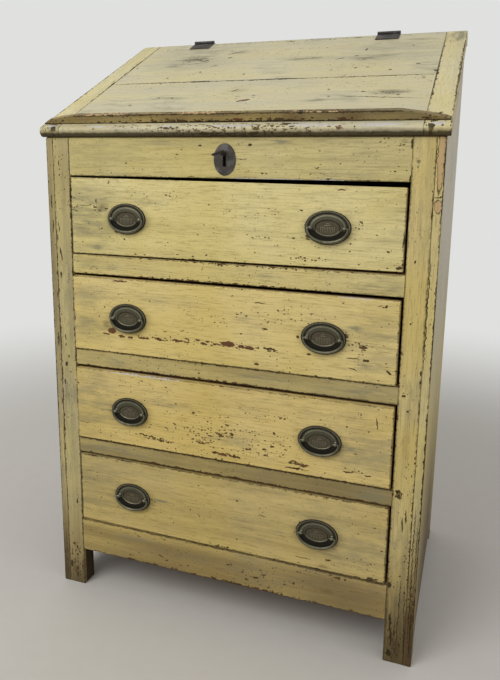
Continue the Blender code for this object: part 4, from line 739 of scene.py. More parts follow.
def painted_layers(recipe, board, spot, low, high, seed):
    """Colour, roughness and height of the worn paint on one board."""
    paint = bpy.context.scene.desk_paint
    grain = board.grain
    wobble = recipe.noise(spot, 160.0, detail=2.0, output=1)
    wobble = recipe.vector("SUBTRACT", wobble, (0.5, 0.5, 0.5))
    wobble = recipe.mapped(wobble, scale=(0.006, 0.006, 0.006))
    ragged = recipe.vector("ADD", spot, wobble)

    cloud = recipe.noise(spot, 6.0, detail=3.0)
    bands = recipe.noise(recipe.grained(spot, grain, 2.6, 46.0, seed), detail=3.0, rough=0.55)
    bristle = recipe.noise(recipe.grained(spot, grain, 9.0, 330.0, seed), detail=4.0, rough=0.62)
    hairs = recipe.noise(recipe.grained(spot, grain, 34.0, 520.0, seed + 1), detail=3.0, rough=0.65)
    grit = recipe.noise(spot, 380.0, detail=2.0, rough=0.6)
    dabs = recipe.noise(recipe.grained(spot, grain, 26.0, 90.0, seed + 3), detail=4.0, rough=0.6)
    clumps = recipe.noise(recipe.grained(spot, grain, 9.0, 34.0, seed + 4), detail=3.0, rough=0.6)
    edge = edge_distance(recipe.parts(ragged), low, high)
    front = recipe.parts(spot)[1] - low[1]
    behind = front.rise(*EDGE_FADE) if board.edge_marks else None
    shapes = recipe.shapes(ragged, [(board.marks, board.face, behind),
                                    (board.edge_marks, "front", front.fall(*EDGE_FADE))])

    tone = recipe.blend(cloud.rise(0.38, 0.66), paint.body, paint.pale)
    tone = recipe.blend(bands.rise(0.47, 0.74, 0.22), tone, paint.streak)
    tone = recipe.blend(bristle.rise(0.50, 0.78, 0.36), tone, paint.streak)
    tone = recipe.blend(hairs.fall(0.24, 0.46, 0.40), tone, paint.pale)
    tone = recipe.blend(hairs.rise(0.52, 0.68, 0.55), tone, paint.streak)
    tone = recipe.blend(grit.rise(0.55, 0.72, 0.30), tone, paint.streak)
    tone = recipe.blend(board.warm, tone, paint.warmth, mode="MULTIPLY")

    # Olive brown by age: aged paint, and on the lower boards partly painted shade
    patina_and_shade = (cloud * 0.5 + bands * 0.8 - 0.15).rise(0.15, 0.75) * 0.65 + 0.35
    tone = recipe.blend(patina_and_shade * board.age, tone, paint.aged_and_shaded)
    tone = recipe.blend((bands * 0.8 + cloud * 0.5) * board.faded * 1.5, tone, paint.faded)
    # Pale sheen: grey paint, with a painted sheen that reflects a pale wall
    if "bleach" in shapes:
        tone = recipe.blend(shapes["bleach"] * (bands + bristle * 0.5 + 0.2), tone, paint.ground)
    if "film" in shapes:
        veil = dabs.rise(0.35, 0.65) * 0.45 + bands.rise(0.35, 0.65) * 0.45
        tone = recipe.blend(shapes["film"] * veil, tone, paint.stain)

    smear = dabs.rise(0.40, 0.66) * 0.7 + bristle.rise(0.42, 0.66) * 0.5
    spread = cloud.rise(0.48, 0.66) * (0.8 * board.stain)
    if "stain" in shapes:
        spread = spread + shapes["stain"]
    tone = recipe.blend((smear * spread * 1.05).least(0.9), tone, paint.stain)
    if "brown" in shapes:
        tone = recipe.blend(shapes["brown"] * (bristle * 0.5 + cloud * 0.5 + 0.25), tone, paint.brown)

    # Soot and painted shade: grime, the painted shadow round the handle plates, and darker paint low on the
    # sides, posts and front edges
    if "soot" in shapes:
        tone = recipe.blend(shapes["soot"] * (dabs * 0.7 + bands * 0.7), tone, paint.grime)

    rim = edge.fall(0.0004, 0.0042)
    grime = (rim * (dabs * 1.1 + bristle * 0.6)).rise(0.34, 0.80) * (0.45 + 0.35 * board.age)
    tone = recipe.blend(grime, tone, paint.grime)

    rim = edge.fall(0.0, 0.0036)
    share = (clumps - 0.5) * 0.8 + rim * 0.36 + 0.16 * board.chips
    if "chips" in shapes:
        share = share + shapes["chips"] * 0.55
    small = recipe.flakes(ragged, grain, 170.0, 340.0, seed + 5, share + 0.24)
    large = recipe.flakes(ragged, grain, 56.0, 160.0, seed + 6, share + 0.10)
    missing = small.most(large)
    tone = recipe.blend(missing * 0.92, tone, recipe.blend(dabs.rise(0.50, 0.64), paint.chip, paint.rust))
    height = bristle * 0.30 + bands * 0.15 - missing * 0.75
    for kind, under in (("rust", paint.rust), ("chip", paint.chip)):
        if kind in shapes:
            tone = recipe.blend(shapes[kind] * 0.95, tone, under)

    if "bare" in shapes:
        wood, _, _ = pine_layers(recipe, spot, grain, 0.1, seed)
        worn = shapes["bare"] + (dabs - 0.5) * 0.9
        rubbed = worn.rise(0.42, 0.50)
        tone = recipe.blend(worn.rise(0.18, 0.32) * (1 - rubbed) * 0.85, tone, paint.chip)
        tone = recipe.blend(rubbed, tone, recipe.blend(0.65, wood, paint.bare))
    if "pale" in shapes:
        flaking = (shapes["pale"] + (dabs - 0.5) * 1.6 + (bristle - 0.5) * 0.6).rise(0.52, 0.64)
        tone = recipe.blend(flaking * 0.9, tone, paint.ground)
    if "dark" in shapes:
        tone = recipe.blend(shapes["dark"] * 0.92, tone, paint.grime)
    rough = 0.48 + bristle * 0.14 + missing * 0.22 - board.age * 0.12
    return tone, rough, height


def plate_shadow_and_dirt(board):
    """Marks of the painted shadow and dirt that lie round the handle plates of a drawer front."""
    found = []
    for side in SIDES:
        plate = board.node.removesuffix("front") + side + "_backplate"
        if plate in frame["nodes"]:
            low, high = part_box(plate)
            middle, half = (low + high) / 2, (high - low) / 2 * SHADOW_AND_DIRT_REACH
            up = middle.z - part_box(board.node)[0].z - SHADOW_AND_DIRT_DRIFT
            found.append(Mark("soot", middle.x + SHADOW_AND_DIRT_DRIFT, up, half.x, half.z, 0.0, SHADOW_AND_DIRT_AMOUNT))
    return found


def board_material(board, seed):
    """Material of a board that is painted on the outside and bare within."""
    paint = bpy.context.scene.desk_paint
    recipe = Finish(board.node + "_finish")
    # Add the painted shadow and dirt round the handle plates
    board = board._replace(marks=[*board.marks, *plate_shadow_and_dirt(board)])
    low, high = extent(board.node, board.space)
    axis, side = FACES[board.face]
    turn = board.space.inverted().to_euler()
    spot = recipe.mapped(recipe.spot, location=board.space.inverted().translation, rotation=turn)
    up = FACE_AXES[board.face][1]
    lift = Vector((0.0, 0.0, 0.0))
    lift[up] = low[up]
    measured = recipe.vector("SUBTRACT", spot, tuple(lift))
    tone, rough, height = painted_layers(recipe, board, measured, low - lift, high - lift, seed)

    place = recipe.parts(spot)
    depth = place[axis] - low[axis] if side < 0 else high[axis] - place[axis]
    ragged = depth + (recipe.noise(spot, 70.0, detail=3.0) - 0.5) * SKIN_RAGGED
    wood, wood_rough, wood_height = pine_layers(recipe, spot, board.grain, 0.7, seed)
    inside = ragged.rise(board.skin - SKIN_FADE, board.skin + SKIN_FADE)
    if board.edge_marks:
        inside = inside * (place[1] - low[1]).rise(*EDGE_PAINT)
    if low[2] < FOOT_REACH and board.space is DESK_SPACE:
        wood = recipe.blend(place[2].fall(*FOOT_DARKENING), wood, paint.grime)
    tone = recipe.blend(inside, tone, wood)
    rough = rough + (wood_rough - rough) * inside
    height = height + (wood_height - height) * inside
    # The lid's front edge is painted darker downwards: olive brown painted shade, then grime and black
    # painted shadow on its underside
    if board.node.startswith("lid_"):
        nose = (place[1] - low[1]).fall(*NOSE)
        shade = high[2] - place[2] + (recipe.noise(spot, 120.0, detail=3.0) - 0.5) * NOSE_RAGGED
        tone = recipe.blend(nose * shade.rise(*NOSE_SHADE), tone, paint.aged_and_shaded)
        tone = recipe.blend(nose * shade.rise(*NOSE_GRIME_AND_SHADOW), tone, paint.grime)
    return recipe.surface(tone, rough, height, depth=0.0007, specular=OLD_SHINE)


def pine_material(node, grain, age, seed):
    """Material of a board of bare pine."""
    recipe = Finish(node + "_pine")
    tone, rough, height = pine_layers(recipe, recipe.spot, grain, age, seed)
    low, high = extent(node, DESK_SPACE)
    edge = edge_distance(recipe.parts(recipe.spot), low, high)
    pine = bpy.context.scene.desk_pine
    dirt = recipe.noise(recipe.spot, 40.0, detail=4.0)
    tone = recipe.blend((edge.fall(0.001, 0.012) * dirt).rise(0.2, 0.7, 0.7), tone, pine.dust)
    return recipe.surface(tone, rough, height, depth=0.0004)


def bronze_material():
    """Dark stamped brass, rubbed bright on its high parts and with dirt in its grooves, and with painted
    highlights and painted shade.
    """
    metal = bpy.context.scene.desk_metal
    recipe = Finish("dark_bronze_finish")
    rubbed, brown, dirt = [recipe.add("ShaderNodeAttribute", {"attribute_name": name}, output="Fac")
                           for name in ("rubbed", "brown", "dirt")]
    mottle = recipe.noise(recipe.spot, 260.0, detail=4.0, rough=0.6)
    cloud = recipe.noise(recipe.spot, 60.0, detail=2.0)
    tone = recipe.blend(mottle.rise(0.35, 0.7, 0.6), metal.bronze, metal.green_bronze)
    tone = recipe.blend(brown * (mottle * 0.6 + 0.5), tone, metal.brown_bronze)
    # Rubbed: worn brass, and painted highlights on the dish ring, the rim under the inner oval and the front
    # of the bail
    bright = (rubbed * 1.1 + (mottle - 0.5) * 0.8 + (cloud - 0.5) * 0.6).rise(0.35, 1.0)
    tone = recipe.blend(bright * 0.85, tone, metal.worn_bronze)
    # Dirt: dirt in the grooves and between the ribs, painted shade on the outer edge, at the top of the
    # inner oval and on the back of the bail, and the bail's painted shadow in the dish
    filled = (dirt * (mottle + 0.45)).rise(0.25, 0.80)
    tone = recipe.blend(filled * 0.9, tone, metal.dirt)
    rough = 0.56 - bright * 0.20 + (mottle - 0.5) * 0.2 + filled * 0.25
    metal_share = 0.5 + bright * 0.25 - filled * 0.5
    return recipe.surface(tone, rough, mottle, depth=0.0002, metal=metal_share, specular=OLD_SHINE)


def iron_material(name, rust, stains=(), soot=0.0):
    """Dark iron with some rust and small pits. Stains are marks of rust, seen from above."""
    metal = bpy.context.scene.desk_metal
    recipe = Finish(name)
    mottle = recipe.noise(recipe.spot, 220.0, detail=5.0, rough=0.62)
    cloud = recipe.noise(recipe.spot, 70.0, detail=3.0)
    tone = recipe.blend(cloud.rise(0.42, 0.70, 0.75), metal.iron, metal.worn_iron)
    rusty = mottle.rise(0.46, 0.64, rust)
    for mark in stains:
        rusty = rusty.most(recipe.patch(recipe.spot, "top", mark) * (mottle + 0.4))
    tone = recipe.blend(rusty, tone, metal.rust)
    tone = recipe.blend(soot, tone, metal.dirt)
    rough = 0.50 + mottle * 0.22
    return recipe.surface(tone, rough, mottle, depth=0.0003, metal=0.6 - rusty * 0.4)


# Modelling helpers

def deselect():
    bpy.ops.object.select_all(action="DESELECT")


def take(piece):
    """Make one object the only selected one, and active."""
    deselect()
    piece.select_set(True)
    bpy.context.view_layer.objects.active = piece


def edit(piece):
    """Put a piece in edit mode with all of it selected."""
    take(piece)
    bpy.ops.object.mode_set(mode="EDIT")
    bpy.ops.mesh.select_all(action="SELECT")


def leave():
    bpy.ops.object.mode_set(mode="OBJECT")


def round_edges(piece, test, reach, segments):
    """Bevel the edges of a piece that pass a test."""
    edit(piece)
    bpy.ops.mesh.select_mode(type="EDGE")
    bpy.ops.mesh.select_all(action="DESELECT")
    mesh = bmesh.from_edit_mesh(piece.data)
    for edge in mesh.edges:
        edge.select_set(test(edge))
    mesh.select_flush_mode()
    bmesh.update_edit_mesh(piece.data)
    bpy.ops.mesh.bevel(offset=reach, segments=segments, affect="EDGES")
    leave()


def fix(piece):
    """Apply the place, turn and size of a piece to its mesh."""
    take(piece)
    bpy.ops.object.transform_apply(location=True, rotation=True, scale=True)


def settle(piece):
    """Apply the place, turn and size of a piece, and turn its faces outwards."""
    fix(piece)
    edit(piece)
    bpy.ops.mesh.normals_make_consistent(inside=False)
    leave()


def join(pieces):
    """Join pieces into the first of them."""
    take(pieces[0])
    for piece in pieces:
        piece.select_set(True)
    bpy.ops.object.join()
    return pieces[0]


def complete(piece, name, body, material, node):
    """Name, shade and colour a piece, and set it on its body in place of a CAD node."""
    piece.name = name
    piece.data.name = name
    take(piece)
    bpy.ops.object.shade_smooth_by_angle(angle=SMOOTH)
    piece.data.materials.clear()
    piece.data.materials.append(material)
    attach(piece, body)
    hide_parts(node)


def dress(node, material):
    """Give a CAD node that stays in view its material."""
    frame["nodes"][node].material_slots[0].material = material


def node_copy(node, name):
    """Merged copy of a CAD node's mesh, in flat faces."""
    mesh = frame["nodes"][node].data.copy()
    piece = bpy.data.objects.new(name, mesh)
    bpy.context.scene.collection.objects.link(piece)
    edit(piece)
    bpy.ops.mesh.remove_doubles(threshold=MERGE)
    bpy.ops.mesh.dissolve_limited(angle_limit=FLAT_ENOUGH)
    leave()
    take(piece)
    bpy.ops.mesh.customdata_custom_splitnormals_clear()
    return piece


def moved_copy(piece, offset, name):
    """Copy of a piece with its own mesh, moved by an offset."""
    mesh = piece.data.copy()
    mesh.transform(Matrix.Translation(offset))
    copied = bpy.data.objects.new(name, mesh)
    bpy.context.scene.collection.objects.link(copied)
    return copied


def oval_disc(centre, half_width, half_height, sides):
    """Flat oval that looks along -Y."""
    deselect()
    bpy.ops.mesh.primitive_circle_add(vertices=sides, radius=1.0, fill_type="NGON", location=centre,
                                      rotation=(math.pi / 2, 0.0, 0.0))
    piece = bpy.context.active_object
    piece.scale = (half_width, half_height, 1.0)
    bpy.ops.object.transform_apply(location=False, rotation=False, scale=True)
    return piece


def turned(centre, rings, sides):
    """Round or oval piece from (half width, height) rings, its axis along -Y.

    A third value in a ring is its height over its width.
    """
    shapes = [(radius, height, *more, 1.0)[:3] for radius, height, *more in rings]
    radius, height, stretch = shapes[0]
    piece = oval_disc(centre, radius, radius * stretch, sides)
    middle = Vector(centre)
    edit(piece)
    for next_radius, next_height, next_stretch in shapes[1:]:
        step = Vector((0.0, height - next_height, 0.0))
        bpy.ops.mesh.extrude_region_move(TRANSFORM_OT_translate={"value": step})
        middle = middle + step
        ratio = next_radius / radius
        bpy.ops.transform.resize(value=(ratio, 1.0, ratio * next_stretch / stretch),
                                 center_override=middle)
        radius, height, stretch = next_radius, next_height, next_stretch
    leave()
    settle(piece)
    return piece


def block(centre, size):
    """Sharp block, not yet of its size in its mesh."""
    deselect()
    bpy.ops.mesh.primitive_cube_add(size=1.0, location=centre, scale=size)
    return bpy.context.active_object


def bar(centre, size, rounding):
    """Small block with rounded edges."""
    piece = block(centre, size)
    settle(piece)
    edit(piece)
    bpy.ops.mesh.bevel(offset=rounding, segments=SMALL_SEGMENTS, affect="EDGES")
    leave()
    return piece


def tube(path, radii, closed=False, sides=4):
    """Round rod of changing radius along a path of points."""
    deselect()
    bpy.ops.curve.primitive_bezier_curve_add()
    piece = bpy.context.active_object
    curve = piece.data
    curve.splines.clear()
    spline = curve.splines.new("POLY")
    spline.points.add(len(path) - 1)
    for point, place, radius in zip(spline.points, path, radii):
        point.co = (*place, 1.0)
        point.radius = radius
    spline.use_cyclic_u = closed
    curve.dimensions = "3D"
    curve.bevel_depth = 1.0
    curve.bevel_resolution = sides
    curve.use_fill_caps = not closed
    take(piece)
    bpy.ops.object.convert(target="MESH")
    piece = bpy.context.active_object
    edit(piece)
    bpy.ops.mesh.remove_doubles(threshold=MERGE)
    bpy.ops.mesh.normals_make_consistent(inside=False)
    leave()
    return piece


def attribute(piece, name, measure):
    """Store a number for each vertex of a piece, measured from its place."""
    layer = piece.data.attributes.new(name, "FLOAT", "POINT")
    for vertex, item in zip(piece.data.vertices, layer.data):
        item.value = measure(vertex.co)


def cut(piece, tools):
    """Cut closed tools out of a piece."""
    for tool in tools:
        take(piece)
        modifier = piece.modifiers.new("cut", "BOOLEAN")
        modifier.operation = "DIFFERENCE"
        modifier.solver = "EXACT"
        modifier.object = tool
        bpy.ops.object.modifier_apply(modifier=modifier.name)
        bpy.data.objects.remove(tool)


# Operators

class DESK_OT_boards(bpy.types.Operator):
    """Ease the edges of the painted boards and give each its worn paint"""

    bl_idname = "desk.boards"
    bl_label = "Painted boards"

    def execute(self, context):
        for seed, board in enumerate(BOARDS):
            material = board_material(board, seed)
            if board.eased:
                self.ease(board, material)
            else:
                dress(board.node, material)
        return {"FINISHED"}

    def ease(self, board, material):
        """Copy of a board with the outline of its shown face rubbed round."""
        piece = node_copy(board.node, board.node + "_worn")
        inverse = board.space.inverted()
        low, high = extent(board.node, board.space)
        axis, side = FACES[board.face]
        plane = low[axis] if side < 0 else high[axis]

        def on_outline(edge):
            if len(edge.link_faces) != 2 or edge.calc_face_angle(0.0) < SHARP:
                return False
            return all(abs((inverse @ vertex.co)[axis] - plane) < PLANE_SLACK for vertex in edge.verts)

        round_edges(piece, on_outline, board.eased, EASED_SEGMENTS)
        body = "lid" if board.space is LID_SPACE else "carcass"
        complete(piece, board.node + "_worn", body, material, board.node)


class DESK_OT_bare_pine(bpy.types.Operator):
    """Give the unpainted boards their grain, age and dirt"""

    bl_idname = "desk.bare_pine"
    bl_label = "Bare pine"

    def execute(self, context):
        for seed, (node, (grain, age)) in enumerate(BARE_BOARDS.items()):
            dress(node, pine_material(node, grain, age, seed))
        return {"FINISHED"}


# Oval plate from its outer edge inwards: share of the half width, height off the drawer front, and
# how much flatter the oval is than the outer edge
PLATE_RINGS = (
    (1.00, 0.0003, 1.0), (1.00, 0.0009, 1.0), (0.99, 0.0015, 1.0), (0.97, 0.0019, 1.0), (0.93, 0.0020, 1.0),
    (0.90, 0.0018, 1.0), (0.865, 0.0010, 1.0), (0.835, 0.0008, 1.0), (0.80, 0.0010, 0.99),
    (0.74, 0.0014, 0.96), (0.67, 0.0019, 0.92), (0.61, 0.0023, 0.87), (0.58, 0.0024, 0.85),
    (0.555, 0.0022, 0.83), (0.535, 0.0016, 0.82), (0.50, 0.0016, 0.81),
)
PLATE_TOP = 0.0026        # no part of the plate but its posts stands off further
PLATE_SIDES = 96
INNER_SHARE = 0.53        # edge of the inner oval, as a share of the half width
INNER_FLATNESS = 0.82     # how much flatter it is than the outer edge
INNER_SLACK = 0.01
# Circles that are lighter: the outer rim and the ring round the inner oval rubbed bright, and the ring at
# 0.72 a painted highlight on the dish; share of the half width, reach to both sides, flatness, amount
WORN_AND_HIGHLIT_RINGS = ((0.94, 0.06, 1.0, 1.0), (0.72, 0.08, 1.0, 1.0), (0.58, 0.04, 0.85, 0.6))
LOWER_RIM_HIGHLIGHT = 0.06          # reach of the painted highlight on the rim below the inner oval
# Dirt lies in the ring groove; round the upper inner oval and along the outer edge it is dirt and painted
# shade; over these reaches
GROOVE_SHARE = 0.835
DIRT_AND_SHADE_WIDTH = 0.07
EDGE_DIRT_AND_SHADE_WIDTH = 0.09
SHADE_GAP = 0.04          # between the inner oval and the bail's painted shadow, with dirt, in the dish below it
SHADE_START = 0.15        # how far below the middle that painted shadow starts, over the half height
POST_RUBBED = 0.9
FLOOR_RUBBED, FLOOR_DIRT = 0.05, 0.45      # between the ribs
RIBS = 4                  # to each side of the middle one
RIB_CLEARANCE = 0.0002    # a rib's top stands off the inner oval by more than this
RIB_ROUNDING = 0.6        # over the rib's height
# Two short bars over the ribs: height over the middle, half length
CAPS = ((0.0040, 0.0056), (0.0066, 0.00336))
CAP_ROUNDING = 0.0004
# Foot of a post: radius over that of its stem, height off the drawer front
POST_RINGS = ((1.6, 0.0010), (1.6, 0.0019), (1.2, 0.0025), (1.0, 0.0031))
# The round head follows a half circle from this share of it, over that share of it
HEAD_START, HEAD_SPAN, HEAD_STEPS = 0.22, 0.76, 9
POST_SIDES = 24
NUT_RINGS = ((0.0050, 0.0), (0.0050, 0.0027), (0.0046, 0.0030), (0.0022, 0.0030))
NUT_SIDES = 6
BEND_STEPS = 4
GRIP_STEPS = 40
# The bail's front is lighter and its back darker: wear and dirt, with a painted highlight in front and
# painted shade behind
BAIL_FRONT_WEAR_AND_HIGHLIGHT, BAIL_BACK_WEAR_AND_HIGHLIGHT = 0.62, 0.2
BAIL_DIRT_AND_SHADE = 0.5
BAIL_DIRT_AND_SHADE_DEPTH = 0.001   # how far behind the middle of the bail its dirt and painted shade start


class DESK_OT_handles(bpy.types.Operator):
    """Model one stamped oval plate and its bail, and set a pair on each drawer"""

    bl_idname = "desk.handles"
    bl_label = "Oval handles"

    def execute(self, context):
        sizes = context.scene.desk_handles
        material = bronze_material()
        pivot = Vector(JOINTS["drawer_1_left_bail_hinge"]["pos_m"])
        low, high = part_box("drawer_1_left_backplate")
        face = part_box("drawer_1_front")[0].y
        plate = self.plate(sizes, pivot, low, high, face)
        bail = self.bail(sizes, pivot)
        for number in DRAWERS:
            for side in SIDES:
                name = f"drawer_{number}_{side}"
                offset = Vector(JOINTS[name + "_bail_hinge"]["pos_m"]) - pivot
                copied = moved_copy(plate, offset, name + "_plate")
                complete(copied, name + "_plate", f"drawer_{number}", material,
                         name + "_backplate")
                copied = moved_copy(bail, offset, name + "_grip")
                complete(copied, name + "_grip", name + "_handle", material,
                         name + "_bail")
        bpy.data.objects.remove(plate)
        bpy.data.objects.remove(bail)
        return {"FINISHED"}

    def plate(self, sizes, pivot, low, high, face):
        """Plate with its two posts, the shanks and the nuts behind them."""
        half_width, half_height = (high.x - low.x) / 2, (high.z - low.z) / 2
        rings = [(half_width * share, height, flatness * half_height / half_width)
                 for share, height, flatness in PLATE_RINGS]
        place = (pivot.x, face - rings[0][1], pivot.z)
        pieces = [turned(place, rings, PLATE_SIDES)]
        floor = rings[-1][1]
        inner_width = half_width * INNER_SHARE
        inner_height = half_height * INNER_SHARE * INNER_FLATNESS
        for step in range(-RIBS, RIBS + 1):
            across = step * sizes.rib_pitch
            reach = inner_height * math.sqrt(1 - (across / inner_width) ** 2) - 2 * sizes.rib_width
            top = min(reach, CAPS[0][0] - 2 * sizes.rib_width)
            middle = (pivot.x + across, face - floor, pivot.z + (top - reach) / 2)
            pieces.append(bar(middle, (sizes.rib_width, 2 * sizes.rib_height, top + reach),
                              sizes.rib_height * RIB_ROUNDING))
        for height, half in CAPS:
            pieces.append(bar((pivot.x, face - floor, pivot.z + height),
                              (2 * half, 2 * sizes.rib_height, sizes.rib_width), CAP_ROUNDING))
        for sign in (-1, 1):
            pieces += self.post(sizes, pivot, face, sign, low, high)
        plate = join(pieces)

        def share(place, flatness=1.0):
            return math.hypot((place.x - pivot.x) / half_width,
                              (place.z - pivot.z) / (half_height * flatness))

        def near(place, centre, width, flatness=1.0):
            return max(0.0, 1.0 - abs(share(place, flatness) - centre) / width)

        def raised(place):
            return face - place.y > floor + RIB_CLEARANCE

        # Brass rubbed bright on its high parts, and painted highlights on the dish ring and on the rim under
        # the inner oval
        def rubbed(place):
            if face - place.y > PLATE_TOP:
                return POST_RUBBED
            if share(place, INNER_FLATNESS) < INNER_SHARE - INNER_SLACK:
                return 1.0 if raised(place) else FLOOR_RUBBED
            rings = [near(place, centre, width, flatness) * amount
                     for centre, width, flatness, amount in WORN_AND_HIGHLIT_RINGS]
            if place.z < pivot.z:
                rings.append(near(place, INNER_SHARE, LOWER_RIM_HIGHLIGHT, INNER_FLATNESS))
            return max(rings)

        # Dirt in the grooves, with painted shade on the outer edge and the top of the inner oval, and the
        # bail's painted shadow in the dish below
        def dirt(place):
            if face - place.y > PLATE_TOP:
                return 0.0
            inner, outer = share(place, INNER_FLATNESS), share(place)
            if inner < INNER_SHARE - INNER_SLACK:
                return 0.0 if raised(place) else FLOOR_DIRT
            groove = max(near(place, GROOVE_SHARE, DIRT_AND_SHADE_WIDTH), near(place, 1.0, EDGE_DIRT_AND_SHADE_WIDTH))
            below = (pivot.z - place.z) / half_height
            if below < SHADE_START:
                return max(groove, near(place, INNER_SHARE, DIRT_AND_SHADE_WIDTH, INNER_FLATNESS))
            return 1.0 if inner > INNER_SHARE + SHADE_GAP and outer < GROOVE_SHARE else groove

        def brown(place):
            return 1.0 if share(place, INNER_FLATNESS) < INNER_SHARE + INNER_SLACK else 0.0

        for measure in (rubbed, dirt, brown):
            attribute(plate, measure.__name__, measure)
        return plate

    def post(self, sizes, pivot, face, sign, low, high):
        """Post with a round head in front, and its shank and nut inside the drawer."""
        x = pivot.x + sign * ((high.x - low.x) / 2 - sizes.post_inset)
        head, stem = sizes.post_head, sizes.post_radius
        ball = face - low.y - head
        rings = [(stem * share, height) for share, height in POST_RINGS]
        for step in range(1, HEAD_STEPS + 1):
            turn = math.pi * (HEAD_START + HEAD_SPAN * step / HEAD_STEPS)
            rings.append((head * math.sin(turn), ball - head * math.cos(turn)))
        return [turned((x, face - rings[0][1], pivot.z), rings, POST_SIDES),
                turned((x, high.y, pivot.z), NUT_RINGS, NUT_SIDES)]

    def bail(self, sizes, pivot):
        """Hanging bail with its ends turned in through the posts."""
        low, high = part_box("drawer_1_left_bail")
        half = (high.x - low.x) / 2 - sizes.arm_radius
        drop = pivot.z - low.z - sizes.grip_radius
        pin_end = half - sizes.pin_length
        bend = sizes.bend
        path = [(-pin_end, 0.0), (-(half - bend), 0.0)]
        radii = [sizes.pin_radius] * 2
        for step in range(1, BEND_STEPS):
            lean = math.pi / 2 * step / BEND_STEPS
            path.append((-(half - bend + bend * math.sin(lean)), -bend * (1 - math.cos(lean))))
            radii.append(sizes.pin_radius + (sizes.arm_radius - sizes.pin_radius) * step / BEND_STEPS)
        far_end = [(-x, z) for x, z in reversed(path)]
        far_radii = radii[::-1]
        for step in range(GRIP_STEPS + 1):
            turn = math.pi * step / GRIP_STEPS
            path.append((-half * math.cos(turn), -bend - (drop - bend) * math.sin(turn)))
            radii.append(sizes.arm_radius + (sizes.grip_radius - sizes.arm_radius) * math.sin(turn))
        points = [(pivot.x + x, pivot.y, pivot.z + z) for x, z in path + far_end]
        bail = tube(points, radii + far_radii, sides=5)
        # Front lighter, back darker: wear and dirt, with a painted highlight and painted shade
        attribute(bail, "rubbed",
                  lambda place: BAIL_FRONT_WEAR_AND_HIGHLIGHT if place.y < pivot.y else BAIL_BACK_WEAR_AND_HIGHLIGHT)
        attribute(bail, "dirt", lambda place: BAIL_DIRT_AND_SHADE if place.y > pivot.y + BAIL_DIRT_AND_SHADE_DEPTH else 0.0)
        attribute(bail, "brown", lambda place: 0.0)
        return bail


# Lock plate from its edge inwards: share of its half width, share of its thickness
LOCK_RINGS = ((1.0, 0.0), (1.0, 0.36), (0.97, 0.62), (0.92, 0.80), (0.80, 0.94), (0.62, 1.0))
LOCK_SIDES = 72
KEYHOLE_DEPTH = 0.02      # length of the tools that cut the keyhole
KEYHOLE_SIDES = 32
# Pins of the lock plate, across and up from its middle, and their rings
PINS = ((-0.0150, -0.001), (0.0150, -0.001), (0.0, 0.0222), (0.0, -0.0215))
PIN_RINGS = ((0.0013, 0.0), (0.0012, 0.0004), (0.0008, 0.0007), (0.0003, 0.0008))
PIN_RISE = 0.6            # share of the plate's height from which they stand up
PIN_SIDES = 12
BOW_SWELL = 0.12          # share by which the key's bow is thicker in front
BOW_STEPS = 48
COLLAR_REACH = 0.0045     # from the key's turning point forwards to the collar
# Collar: radius over its own, distance from where it starts
COLLAR_RINGS = ((0.85, 0.0), (1.0, 0.0006), (1.0, 0.0020), (0.85, 0.0028))
# Shank: radius over its own, distance from its inner end, from the collar and from the bow
SHANK_END = ((0.9, 0.0), (1.0, 0.0006))
SHANK_TO_COLLAR, SHANK_FROM_COLLAR = -0.0004, 0.0032
SHANK_AT_BOW = ((1.1, -0.0015), (0.8, 0.0012))
SHANK_SIDES = 28
BIT_START = 0.0115        # from the key's turning point inwards
BIT_LENGTH, BIT_HEIGHT, BIT_ROUNDING = 0.0045, 0.0025, 0.0003


